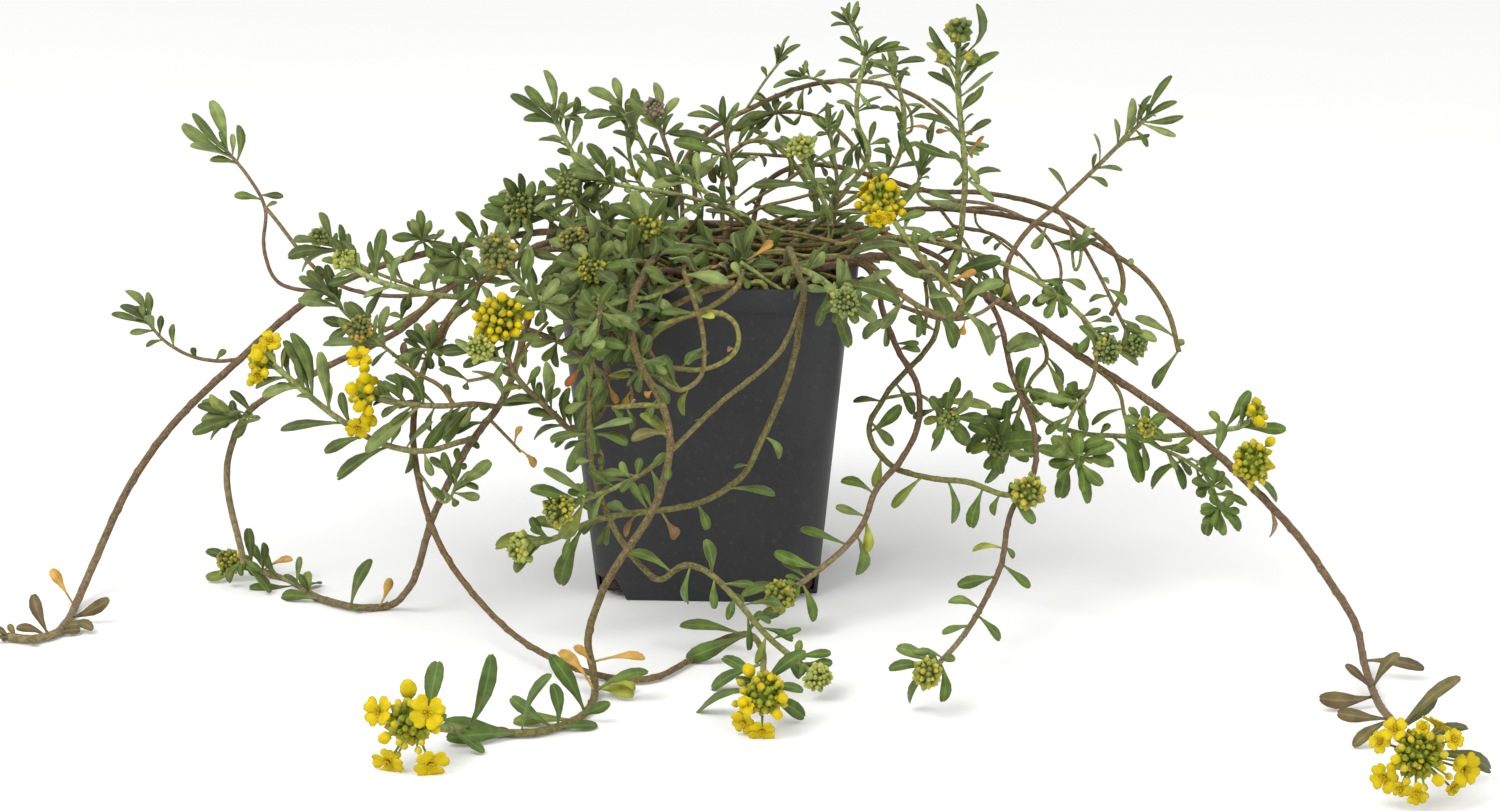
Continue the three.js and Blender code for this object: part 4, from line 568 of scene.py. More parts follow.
sprays["shoot_bud_left_brown"] = dict(
    root=(-29, 26), thick=(1, 0.7), buds=dict(at=(519, 206, 16), radius=5.8),
    course="596,222,25 560,219,22 536,212,19",
    leaves="562,190,556,218 548,250,550,216 585,205,580,221",
    tips="500,186 542,180 562,236 480,212 496,232")
sprays["shoot_bud_left_orange"] = dict(
    root=(-17, -28), thick=(1.05, 0.75), fill=(0.4, 0.8, 2, 12),
    buds=dict(at=(498, 253, -66), radius=6.3, kind="amber", large=1.2),
    course="620,264,-40 594,274,-44 566,300,-60 542,300,-66 518,276,-66",
    leaves="590,318,572,300 536,326,548,304 552,274,536,295",
    tips="470,236 478,270 500,222 530,244 510,290")
sprays["shoot_bud_rim_left"] = dict(
    root=(-22, -14), thick=(1, 0.7), buds=dict(at=(574, 240, -34), radius=4.8, kind="amber"),
    course="622,256,-24 594,250,-30",
    leaves="610,232,610,252 600,284,604,252",
    tips="560,214 586,216 548,240 552,262 590,226")
sprays["shoot_bud_rim_front"] = dict(
    root=(-11, -26), thick=(1, 0.7), buds=dict(at=(592, 268, -54), radius=5, kind="ripe"),
    course="640,262,-38 614,264,-48",
    leaves="630,292,628,262 616,240,626,262",
    tips="575,292 608,298 622,284 560,270 612,246")
sprays["trailer_front_left_head"] = dict(
    root=(-1, -28), thick=(1.15, 0.8), fill=(0.25, 0.62, 5, 13), look=("purple", 0.6, 0.8, 1.1),
    bloom=dict(name="bloom_left_centre", at=(505, 318, -75), radius=9.5),
    course="664,270,-42 636,290,-56 612,330,-62 602,380,-66 594,420,-69 576,430,-72 552,412,-75 524,382,-76 "
           "508,358,-76",
    leaves="532,436,566,424 568,472,586,428 556,448,576,430 540,366,528,386 560,388,545,404",
    tips="470,300 540,338 476,362",
    side=[dict(
        start=(518, 374), thick=(0.7, 0.6), buds=dict(at=(480, 349, -82), radius=4.6, kind="pale"),
        course="496,360,-80",
        tips="455,340 462,366 488,330 496,378"
    )])
sprays["stem_front_loop"] = dict(
    root=(10, -28), thick=(0.95, 0.7), fill=(0.3, 0.55, 2, 10), look=("olive", 0.7, 0.9, 1.0), leafy=0,
    course="742,272,-42 736,288,-52 712,306,-55 672,323,-57 648,342,-59 653,358,-61 682,369,-63 715,366,-63 "
           "738,345,-63 734,322,-62 720,312,-61",
    leaves="708,350,680,369 660,300,680,320 640,372,650,352")
sprays["trailer_front_bud"] = dict(
    root=(-9, -14), thick=(1, 0.7), fill=(0.2, 0.9, 4, 12), buds=dict(at=(602, 307, -60), radius=4.8),
    course="690,266,-34 684,272,-46 694,300,-62 704,345,-68 698,380,-70 681,390,-72 658,377,-72 634,352,-72 "
           "614,328,-66",
    leaves="628,386,646,366 650,336,640,358",
    tips="590,284 624,292 576,310 596,334")
sprays["trailer_front_fork"] = dict(
    root=(23, -28), thick=(1.3, 0.8), fill=(0.5, 0.65, 2, 8), look=("green", 0.6, 0.74, 1.1),
    buds=dict(at=(522, 547, -79), radius=5.5, kind="pale", large=1.2, sideOn=True),
    course="786,262,-38 798,272,-49 803,300,-53 800,330,-54 792,365,-55 778,402,-55 760,443,-57 744,474,-60 "
           "723,491,-63 678,499,-68 634,508,-72 588,523,-76 550,540,-78",
    leaves="774,497,728,490 709,529,694,497 679,538,657,503 495,546,548,541 560,588,585,525 605,545,612,514 "
           "640,484,650,505",
    tips="512,570 530,518",
    side=[dict(
        start=(799, 332), thick=(0.9, 0.7), look=("green", 0.5, 0.8, 1.1),
        buds=dict(at=(559, 510, -92), radius=5.5, kind="ripe"),
        course="784,345,-60 752,372,-66 719,404,-72 678,446,-80 641,474,-86 590,500,-90",
        leaves="644,413,672,448 699,419,700,424 543,470,590,500 660,498,650,468 620,462,632,480",
        tips="530,490 560,540 584,482"
    )])
sprays["runner_front_head"] = dict(
    root=(-18, -10), thick=(1.3, 0.95), fill=(0.12, 0.34, 4, 13), look=("green", 0.25, 0.82, 1.2), leafy=12,
    bloom=dict(name="bloom_front_left", at=(412, 726, -182), radius=11.5),
    course="656,258,-36 646,270,-49 630,316,-66 640,364,-74 661,402,-80 670,440,-86 662,487,-92 643,520,-96 "
           "621,559,-100 600,598,-104 588,640,-110 594,676,-116 592,704 571,723 530,734 490,733 455,727,-168",
    leaves="439,662,430,700 493,657,471,725 512,790,478,740 485,772,455,731 446,760,520,740 548,674,522,728 "
           "510,700,552,728 553,657,582,712 598,733,556,731 610,703,580,718 645,655,592,662 577,646,589,668 "
           "636,708,598,684 642,666,596,690 560,650,586,690")
sprays["trailer_front_low"] = dict(
    root=(-16, -18), thick=(1.15, 0.75), fill=(0.15, 0.4, 4, 12), look=("green", 0.5, 0.74, 1.2),
    buds=dict(at=(816, 676, -122), radius=5, kind="pale", sideOn=True),
    course="630,262,-40 612,276,-62 598,320,-77 590,380,-80 598,440,-84 601,498,-88 619,537,-90 643,568,-92 "
           "657,579,-94 668,573,-96 682,566,-98 708,583,-101 741,611,-106 777,645,-113 800,664,-118",
    leaves="632,549,671,570 709,542,713,585 682,604,690,573 560,360,592,360 566,412,592,400 632,420,596,430 "
           "576,462,599,460",
    tips="832,664 800,640")


# Routes of the stems, laid one spray after another
routeRule = dict(ringStep=19, straight=10, chord=42, clear=0.7, floor=0.25, rounds=60, share=0.6, least=0.05)
soilTop = 88
laid = dict(start=np.zeros((0, 3)), end=np.zeros((0, 3)), thick=np.zeros(0))


def splinePoint(points, place):
    # uniform curve through the points, its ends carried straight on
    last = len(points) - 1
    span = min(last - 1, int(place))
    t = place - span
    b, c = points[span], points[span + 1]
    a = points[span - 1] if span > 0 else 2 * b - c
    d = points[span + 2] if span + 2 <= last else 2 * c - b
    near, far = (c - a) / 2, (d - b) / 2
    return b + near * t + (3 * (c - b) - 2 * near - far) * t ** 2 + (2 * (b - c) + near + far) * t ** 3


def smoothRoute(course):
    points = []
    for i in range(len(course) - 1):
        steps = max(1, int(norm(course[i] - course[i + 1]) / routeRule["ringStep"] + 0.5))
        points += [splinePoint(course, i + k / steps) for k in range(steps)]
    points.append(course[-1].copy())
    kept = points[:2]
    for i in range(2, len(points) - 1):
        before, after = points[i] - kept[-1], points[i + 1] - points[i]
        bend = math.acos(clip(unit(before) @ unit(after), -1)) / degree
        if bend > routeRule["straight"] or norm(kept[-1] - points[i + 1]) > routeRule["chord"]:
            kept.append(points[i])
    return np.array(kept + [points[-1]])


def nearestOffsets(a, b, starts, ends):
    # share along a to b and the way there from each of the other segments, where the two are closest
    u, v, w = b - a, ends - starts, a - starts
    uu, uv, vv, uw, vw = u @ u, v @ u, (v * v).sum(1), w @ u, (v * w).sum(1)
    spread = uu * vv - uv * uv
    skew = spread > 1e-9
    s = np.clip(np.where(skew, (uv * vw - vv * uw) / np.where(skew, spread, 1), 0), 0, 1)
    t = np.clip((uv * s + vw) / vv, 0, 1)
    s = np.clip((uv * t - uw) / uu, 0, 1)
    return s, a + u * s[:, None] - starts - v * t[:, None]


def easePast(points, radius, held):
    # moves a stem along the line of sight until it clears the sprays that are laid already
    middle = (laid["start"] + laid["end"]) / 2
    reach = norm(laid["end"] - laid["start"], axis=1) / 2 + 2 * routeRule["ringStep"]
    doubled = np.array_equal(points[-1], points[-2])
    for _ in range(routeRule["rounds"]):
        moved = False
        for i in range(len(points) - 1):
            near = norm(middle - points[i], axis=1) <= reach
            if not near.any() or np.array_equal(points[i], points[i + 1]):
                continue
            shares, offsets = nearestOffsets(points[i], points[i + 1], laid["start"][near], laid["end"][near])
            short = radius + laid["thick"][near] + routeRule["clear"] - norm(offsets, axis=1)
            worst = int(np.argmax(short))
            if short[worst] <= 0:
                continue
            ray = unit(points[i] - eye)
            way = 1 if offsets[worst] @ ray >= 0 else -1
            move = way * (short[worst] * routeRule["share"] + routeRule["least"])
            if i >= held:
                points[i] += ray * move * (1 - 0.5 * shares[worst])
            if i + 1 >= held:
                points[i + 1] += ray * move * (0.5 + 0.5 * shares[worst])
            if doubled:
                points[-1] = points[-2]
            moved = True
        points[:, 2] = np.maximum(points[:, 2], radius + routeRule["floor"])
        if not moved:
            break


def framesOf(points):
    frames = []
    across = np.array([1.0, 0.0, 0.0])
    last = len(points) - 1
    for i in range(last + 1):
        tangent = unit(points[min(last, i + 1)] - points[max(0, i - 1)])
        across = across - tangent * (across @ tangent)
        if norm(across) < 0.05:
            across = np.cross(tangent, up)
        across = unit(across)
        frames.append((tangent, across, np.cross(tangent, across)))
    return frames


def layStem(record, start):
    traced = [atDepth(*p) if len(p) == 3 else atHeight(*p, record["thick"][1] + routeRule["floor"])
              for p in spots(record["course"])]
    course = start + traced
    head = dict(record.get("bloom") or record.get("buds") or {})
    if head:
        head["centre"] = atDepth(*head["at"])
        head["axis"] = unit(head["centre"] - course[-1])
        short = head["radius"] * 0.5 + 0.35 if "bloom" in record else head["radius"] * 0.2
        course.append(head["centre"] - head["axis"] * short)
    points = smoothRoute(course)
    easePast(points, max(record["thick"]), len(start))
    if head:
        head["centre"] = head["centre"] + points[-1] - course[-1]
    return dict(record=record, points=points, frames=framesOf(points), head=head, thick=record["thick"],
                isSide=len(start) == 1)


def pointAt(stem, share):
    last = len(stem["points"]) - 1
    place = clip(share * last, 0, last - 0.02)
    before = int(place)
    return stem["points"][before] + (stem["points"][before + 1] - stem["points"][before]) * (place - before)


def shareBack(stem, distance):
    last = len(stem["points"]) - 1
    for i in range(last, 0, -1):
        chord = norm(stem["points"][i] - stem["points"][i - 1])
        if distance <= chord:
            return (i - distance / chord) / last
        distance -= chord
    return 0


def shareAt(stem, px, py):
    seen = np.array([pixelOf(p) for p in stem["points"]])
    start, step = seen[:-1], seen[1:] - seen[:-1]
    t = np.clip((((px, py) - start) * step).sum(1) / (step * step).sum(1), 0, 1)
    gaps = norm(start + step * t[:, None] - (px, py), axis=1)
    nearest = int(np.argmin(gaps))
    return (nearest + t[nearest]) / (len(seen) - 1)


def nearestRing(stems, px, py):
    best = (1e9, None)
    for stem in stems:
        for index, point in enumerate(stem["points"]):
            gap = norm(pixelOf(point) - (px, py))
            if gap < best[0] and (index > 1 or stem["isSide"]):
                best = (gap, point)
    return best[1]


plants = []
for name, record in sprays.items():
    x, y = record["root"]
    stems = [layStem(record, [np.array([x, y, soilTop - 9.0]), np.array([x, y, soilTop + 4.0])])]
    for branch in record.get("side", []):
        stems.append(layStem(branch, [nearestRing(stems, *branch["start"]).copy()]))
    for stem in stems:
        long = norm(np.diff(stem["points"], axis=0), axis=1) > 0
        laid["start"] = np.vstack([laid["start"], stem["points"][:-1][long]])
        laid["end"] = np.vstack([laid["end"], stem["points"][1:][long]])
        laid["thick"] = np.append(laid["thick"], [max(stem["thick"])] * int(long.sum()))
    plants.append(dict(name=name, stems=stems))


def allStems():
    return [stem for plant in plants for stem in plant["stems"]]


print("stems laid:", len(allStems()))


# Leaves where the CAD part has them: foot, tip and facing, with the tip taken from the part itself
leafRule = dict(leans=[0.25, -0.3, 0.55, -0.6, 0.9, -0.9, 0], twists=[0, 0.5, -0.5, 1.1, -1.1],
                fillSpread=0.95, whorlSpread=(0.6, 0.5), lift=0.25, light=(0.1, -0.62, 0.75), match=0.06,
                sway=(0.5, 0.3, 0.4), pitch=1.1, neck=0.5, width=(1.2, 0.2), widths=(2.4, 5.0), low=1.5)


def tracedTips(foot, px, py, index):
    flat = norm(atDepth(px, py, foot[1]) - foot)
    way = 1 if index % 2 else -1
    return [atDepth(px, py, foot[1] + flat * lean * way) for lean in leafRule["leans"]]


def ruledTips(stem, share, spread, turn, length):
    last = len(stem["points"]) - 1
    tangent, across, along = stem["frames"][min(last, int(share * last + 0.5))]
    tips = []
    for twist in leafRule["twists"]:
        aside = across * math.cos(turn + twist) + along * math.sin(turn + twist)
        out = tangent * math.cos(spread) + aside * math.sin(spread) + up * leafRule["lift"]
        tips.append(pointAt(stem, share) + unit(out) * length)
    return tips


def makeLeaf(foot, tip, index, **facts):
    # leaf in mm, as wide as suits its length and facing about the light
    least, slope = leafRule["width"]
    tip[2] = max(tip[2], leafRule["low"])
    width = clip(least + slope * norm(tip - foot), *leafRule["widths"])
    facing = [leafRule["light"][k] + leafRule["sway"][k] * wave(index, k + 2) for k in range(3)]
    return dict(foot=foot, tip=tip, width=width, facing=np.array(facing), **facts)


def growLeaves(stem, index, corners):
    # leaves: share of the stem, the traced tip if there is one, or else spread, turn and length
    record, head = stem["record"], stem["head"]
    neck = head["radius"] if head and "bloom" not in record else leafRule["neck"]
    tips = spots(record.get("tips", ""))
    leaves = [(shareAt(stem, fx, fy), (px, py), None) for px, py, fx, fy in spots(record.get("leaves", ""))]
    leaves += [(shareBack(stem, neck + leafRule["pitch"] * i), tip, None) for i, tip in enumerate(tips)]
    start, end, number, length = record.get("fill", (0, 0, 0, 0))
    for i in range(number):
        leaves.append((start + (end - start) * (i + 0.5) / number, None,
                       (leafRule["fillSpread"], i * goldenAngle, length * (1 + 0.2 * wave(i, 5)))))
    number, length = record.get("whorl", (0, 0))
    least, more = leafRule["whorlSpread"]
    for i in range(number):
        leaves.append((shareBack(stem, neck + leafRule["pitch"] * (i + len(tips))), None,
                       (least + more * i / number, i * goldenAngle, length * (1 + 0.15 * wave(i, 6)))))
    stem["leaves"] = []
    for share, traced, ruled in leaves:
        index += 1
        foot = pointAt(stem, share)
        tips = tracedTips(foot, *traced, index) if traced else ruledTips(stem, share, *ruled)
        for tip in tips:
            tip[2] = max(tip[2], leafRule["low"])
        inPart = [tip for tip in tips if corners.find(tip)[2] < leafRule["match"]]
        if inPart or traced:
            stem["leaves"].append(makeLeaf(foot, (inPart or tips)[0], index, share=share, traced=traced))
    return index


for plant in plants:
    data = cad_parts[plant["name"]].data
    flat = np.empty(len(data.vertices) * 3, np.float32)
    data.vertices.foreach_get("co", flat)
    corners = treeOf(flat.reshape(-1, 3) / mm)
    count = 0
    for stem in plant["stems"]:
        count = growLeaves(stem, count, corners)
print("leaves placed:", sum(len(stem["leaves"]) for stem in allStems()))


# Shapes that are repeated: each is made once, then placed many times
def takeShape(bm):
    bmesh.ops.recalc_face_normals(bm, faces=bm.faces[:])
    bm.verts.index_update()
    points = np.array([v.co[:] for v in bm.verts])
    faces = [tuple(v.index for v in f.verts) for f in bm.faces]
    bm.free()
    return dict(points=points, faces=faces)


def slab(rows, lanes):
    # flat plate: x 0 to 1 along, y -1 to 1 across, z 0 for the underside and 1 for the upper side
    bm = bmesh.new()
    bmesh.ops.create_grid(bm, x_segments=rows, y_segments=lanes, size=1)
    bmesh.ops.solidify(bm, geom=bm.faces[:], thickness=1)
    for v in bm.verts:
        v.co.x = (v.co.x + 1) / 2
    low = min(v.co.z for v in bm.verts)
    for v in bm.verts:
        v.co.z -= low
    return takeShape(bm)


def ball(around, rows):
    # unit ball with its poles on z, moved to z 0 to 1
    bm = bmesh.new()
    bmesh.ops.create_uvsphere(bm, u_segments=around, v_segments=rows, radius=1)
    for v in bm.verts:
        v.co.z = (v.co.z + 1) / 2
    return takeShape(bm)


def rod(sides):
    bm = bmesh.new()
    bmesh.ops.create_cone(bm, cap_ends=True, segments=sides, radius1=1, radius2=1, depth=1)
    for v in bm.verts:
        v.co.z += 0.5
    return takeShape(bm)


leafSlab = slab(7, 2)
smallSlab = slab(4, 2)
petalSlab = slab(4, 4)
budBall = ball(7, 6)
smallBall = ball(6, 4)
pedicelRod = rod(5)


# A piece is gathered as arrays and made into one mesh at the end
def newPile():
    return dict(points=[], faces=[], slots=[], tint=[], place=[], count=0)


def addShapes(pile, shape, points, tint, place, slot):
    # points: copies x corners x 3 in mm; tint: colours; place: along, across and side of each corner
    copies, corners = points.shape[:2]
    for c in range(copies):
        offset = pile["count"] + c * corners
        pile["faces"] += [tuple(k + offset for k in face) for face in shape["faces"]]
    pile["slots"] += [slot] * (copies * len(shape["faces"]))
    for key, values in (("points", points), ("tint", tint), ("place", place)):
        pile[key].append(np.broadcast_to(values, (copies, corners, 3)).reshape(-1, 3))
    pile["count"] += copies * corners


def meshOf(pile, name, materials):
    points, tint, place = (np.concatenate(pile[key]) for key in ("points", "tint", "place"))
    points[:, 2] = np.maximum(points[:, 2], 0.1)
    mesh = bpy.data.meshes.new(name)
    mesh.from_pydata((points * mm).tolist(), [], pile["faces"])
    mesh.polygons.foreach_set("material_index", pile["slots"])
    mesh.polygons.foreach_set("use_smooth", [True] * len(pile["faces"]))
    tint = np.column_stack([tint, np.ones(len(tint))]).astype(np.float32)
    mesh.attributes.new("tint", "FLOAT_COLOR", "POINT").data.foreach_set("color", tint.ravel())
    place = place.astype(np.float32)
    mesh.attributes.new("place", "FLOAT_VECTOR", "POINT").data.foreach_set("vector", place.ravel())
    for material in materials:
        mesh.materials.append(material)
    mesh.update()
    return addObject(name, mesh)


# Colours, picked from the photograph
leafTones = tonesOf(dark="#414e1d", deep="#456023", mid="#59692b", pale="#7c8a4c", bright="#5e7725",
                    lime="#9a9d36", orange="#c59946", amber="#ad7e34", rust="#b8703a", dry="#8e6a42",
                    purple="#67503a", olive="#706a36")
stemTones = tonesOf(young="#86914f", olive="#867f42", brown="#80693f", old="#705a38", purple="#7a5c4c",
                    fresh="#98a562", green="#757b3e", bark="#866f54", dusty="#8e7c5f")
budCodes = dict(green="#7b8a20", lime="#b0a41e", yellow="#c4a60e")
budTones = tonesOf(**budCodes)
# tones of a head's buds at the foot and at the tip, the tone of the riper ones and their share
headTones = dict(dusky=("#66753c", "#889252", "#a9a43c", 0.22), pale=("#84903f", "#a6aa56", "#b8b44e", 0.25),
                 ripe=("#6b7430", "#98983c", "#bcae30", 0.4), amber=("#5f6a34", "#7f7e40", "#bc9630", 0.35),
                 olive=("#4f6130", "#7c8638", "#a89833", 0.4), faded=("#5f6347", "#7f725a", "#8d7663", 0.4),
                 flower=(*budCodes.values(), 0.12))
petalTone = colour("#c9b106")
orangePetal = colour("#c8940a")

# tips of the leaves that stand out in colour, by pixel
oddLeaves = dict(
    orange="53,570 285,558 640,655 578,650 562,655 389,579 530,465 517,427",
    amber="772,242 932,129 979,131 967,273",
    lime="868,548 975,547 853,488 812,535 630,708",
    dry="1276,537 623,535 650,497 654,530 730,351 386,640 679,536 572,380",
    bright="758,497")
withered = ["orange", "rust", "amber", "dry"]
# pixel and reach of the runner ends with purplish leaves, of the duller ones by the far head, of deep green
purplePlaces = [(55, 630, 75), (1400, 735, 125)]
dullPlace = (1450, 760, 75)
deepPlaces = [(520, 720, 115), (760, 690, 80)]
toneRule = dict(low=(330, 250), right=(700, 900), top=(420, 200), pale=0.3, lime=(0.03, 0.05), lift=0.17)


def oddTone(spot):
    for tone, places in oddLeaves.items():
        if any(isNear(spot, place, 9) for place in spots(places)):
            return tone


def leafTone(spot, rng):
    # greener and brighter low down and to the right, lighter at the top
    odd = oddTone(spot)
    if odd:
        return leafTones[odd]
    if any(isNear(spot, place, place[2]) for place in purplePlaces):
        dusky = mix(leafTones["purple"], leafTones["olive"], rng.random())
        return mix(dusky, leafTones["dark"], 0.75 if isNear(spot, dullPlace, dullPlace[2]) else 0)
    rule = toneRule
    lowFrom, lowOver = rule["low"]
    rightFrom, rightOver = rule["right"]
    top, topOver = rule["top"]
    low = clip((spot[1] - lowFrom) / lowOver + (spot[0] - rightFrom) / rightOver)
    green = mix(leafTones["dark"], leafTones["mid"], rng.random())
    if rng.random() < rule["pale"]:
        green = mix(green, leafTones["pale"], 0.5 + 0.4 * rng.random())
    green = mix(green, leafTones["bright"], low * (0.25 + 0.6 * rng.random()))
    for place in deepPlaces:
        if isNear(spot, place, place[2]):
            green = mix(green, leafTones["deep"], 0.6)
    if spot[1] > lowFrom and rng.random() < rule["lime"][0] + rule["lime"][1] * low:
        green = mix(green, leafTones["lime"], 0.35)
    return green * (1 + rule["lift"] * clip((top - spot[1]) / topOver))


# Leaves: from spoon-shaped to pointed, folded along the midrib and bowed up
leafShape = dict(rows=[0, 0.16, 0.38, 0.58, 0.74, 0.88, 0.965, 1.0],
                 spoon=[0.15, 0.16, 0.42, 0.84, 1.0, 0.9, 0.62, 0.26],
                 lance=[0.13, 0.22, 0.58, 0.92, 0.98, 0.7, 0.38, 0.07],
                 thick=0.38, fold=0.16, bow=0.07, notch=0.02, petiole=0.45)


def addLeaves(pile, leaves, slot, shape=leafSlab):
    if not leaves:
        return
    u, v, layer = shape["points"].T
    rows = np.interp(u, np.linspace(0, 1, len(leafShape["rows"])), leafShape["rows"])
    arch = 4 * rows * (1 - rows)
    copies = []
    tints = []
    for leaf in leaves:
        foot, tip, tone = leaf["foot"], leaf["tip"], leaf["tone"]
        length = norm(tip - foot)
        along = (tip - foot) / length
        facing = unit(leaf["facing"] - along * (leaf["facing"] @ along))
        across = np.cross(facing, along)
        stalk = leaf.get("stalk", 0)
        blade = np.clip((rows - stalk) / (1 - stalk), 0, 1)
        spoon, lance = (np.interp(blade, leafShape["rows"], leafShape[key]) for key in ("spoon", "lance"))
        side = v * (spoon + (lance - spoon) * leaf.get("pointed", 0)) * leaf["width"] / 2
        lift = leafShape["bow"] * leaf.get("bend", 1) * length * arch
        lift = lift + leafShape["fold"] * leaf.get("folded", 1) * np.abs(side)
        lift = lift - leaf.get("curl", 0) * length * rows ** 3 + (layer - 0.5) * leafShape["thick"]
        sway = leaf.get("sway", 0) * length * arch
        reach = rows * length * (1 - leafShape["notch"] * (1 - np.abs(v)) * rows ** 8)
        corners = foot + along * reach[:, None] + across * (side + sway)[:, None]
        copies.append(corners + facing * lift[:, None])
        tints.append(mix(leaf.get("petiole", tone), tone, np.clip(rows / leafShape["petiole"], 0, 1)))
    addShapes(pile, shape, np.array(copies), np.array(tints), np.column_stack([rows, v, layer]), slot)


# Balls and rods drawn out from a foot along a direction
def drawn(shape, foot, out, length, widths):
    # widths: radius in mm at even steps from the foot to the end
    side, other = crosswise(out)
    x, y, z = shape["points"].T
    ring = np.hypot(x, y)
    wide = np.interp(z, np.linspace(0, 1, len(widths)), widths)
    scale = np.where(ring > 1e-6, wide / np.maximum(ring, 1e-6), 0)
    return foot + np.outer(x * scale, side) + np.outer(y * scale, other) + np.outer(z * length, out)


budWidths = [0, 0.62, 0.92, 1.0, 0.86, 0.56, 0]
puffWidths = [0, 0.62, 0.86, 1.0, 1.0, 0.82, 0.3]


def addBuds(pile, buds, slot, profile=budWidths, change=(0.35, 0.5)):
    # each bud: foot, direction, length, radius, tone at the foot and tone at the tip
    x, y, z = budBall["points"].T
    angle = np.arctan2(y, x)
    lobes = 1 + 0.08 * np.cos(4 * angle) * np.sin(z * math.pi)
    copies = []
    tints = []
    for foot, out, length, radius, low, high in buds:
        corners = drawn(budBall, foot, out, length, np.array(profile) * radius)
        axis = foot + np.outer(z * length, out)
        copies.append(axis + (corners - axis) * lobes[:, None])
        tints.append(mix(low, high, np.clip((z - change[0]) / change[1], 0, 1)))
    if copies:
        place = np.column_stack([z, angle / math.pi, np.ones(len(z))])
        addShapes(pile, budBall, np.array(copies), np.array(tints), place, slot)


def addRods(pile, rods, slot, tone):
    # each rod: foot, end, radius at the foot and at the end
    copies = [drawn(pedicelRod, foot, unit(end - foot), norm(end - foot), [low, high])
              for foot, end, low, high in rods]
    if copies:
        z = pedicelRod["points"][:, 2]
        addShapes(pile, pedicelRod, np.array(copies), tone, np.column_stack([z, np.zeros(len(z)), z]), slot)


# Flower: four notched petals in a cross, six stamens, four sepals
flowerShape = dict(rows=[0, 0.22, 0.5, 0.8, 1.0], halves=[0.18, 0.5, 0.95, 1.0, 0.6], petal=4.6, wide=5.1,
                   thick=0.3, notch=0.08, cup=0.34)


def addFlower(pile, middle, out, turn, size, rng):
    u, v, layer = petalSlab["points"].T
    rows = np.interp(u, np.linspace(0, 1, 5), flowerShape["rows"])
    halves = np.interp(rows, flowerShape["rows"], flowerShape["halves"])
    copies = []
    for petal in range(4):
        along = swung(out, turn + petal * math.pi / 2 + rng.normal(0, 0.05))
        across = np.cross(out, along)
        length = flowerShape["petal"] * size * (1 + rng.normal(0, 0.04))
        reach = rows * length * (1 - flowerShape["notch"] * np.clip(1 - 2.2 * np.abs(v), 0, 1) * rows ** 4)
        spread = v * halves * flowerShape["wide"] * size / 2
        rise = flowerShape["cup"] + rng.normal(0, 0.05)
        lift = rise * length * (rows ** 0.8) - 0.42 * rows ** 3 * length * rise + 0.1 * np.abs(spread)
        lift = lift + 0.12 * np.sin(v * 5 + petal) * rows + (layer - 0.5) * flowerShape["thick"]
        copies.append(middle + along * (0.35 * size + reach)[:, None] + np.outer(spread, across)
                      + np.outer(lift, out))
    tint = mix(petalTone, orangePetal, np.clip(1 - rows * 3, 0, 1) * 0.5)
    addShapes(pile, petalSlab, np.array(copies), tint, np.column_stack([rows, v, layer]), slots["petal"])
    stamens = []
    anthers = []
    for k in range(6):
        lean = swung(out, turn + 0.4 + k * math.pi / 3)
        end = middle + out * (1.7 * size) + lean * (0.75 * size)
        stamens.append((middle, end, 0.14, 0.12))
        anthers.append((end - out * 0.3, unit(out + lean * 0.4), 0.8, 0.28, petalTone, orangePetal))
    addRods(pile, stamens, slots["petal"], petalTone)
    addBuds(pile, anthers, slots["petal"])
    leans = [swung(out, turn + math.pi / 4 + k * math.pi / 2) for k in range(4)]
    sepals = [dict(foot=middle - out * 0.9, tip=middle + out * 0.9 + lean * 1.7, width=1.2, facing=out - lean,
                   tone=budTones["lime"]) for lean in leans]
    addLeaves(pile, sepals, slots["bud"], smallSlab)


def domeDirections(count, axis, lowest):
    # spread evenly over the ball from its top round the axis down to the angle with that cosine
    found = []
    for i in range(count):
        height = 1 - (1 - lowest) * (i + 0.5) / count
        found.append(axis * height + swung(axis, i * goldenAngle) * math.sqrt(max(0, 1 - height * height)))
    return found


def headFacing(head):
    # most heads turn their tops to the front and up, the side-on ones keep the way their stem points
    if head.get("sideOn"):
        return head["axis"]
    return unit(head["axis"] * 0.35 + backward * 0.75 + up * 0.2)


headRule = dict(lowest=-0.3, few=10, perArea=2.1, size=(0.62, 0.4), sizes=(0.72, 1.3), stretch=2.4, large=6,
                core=[0, 0.85, 1, 0.85, 0])


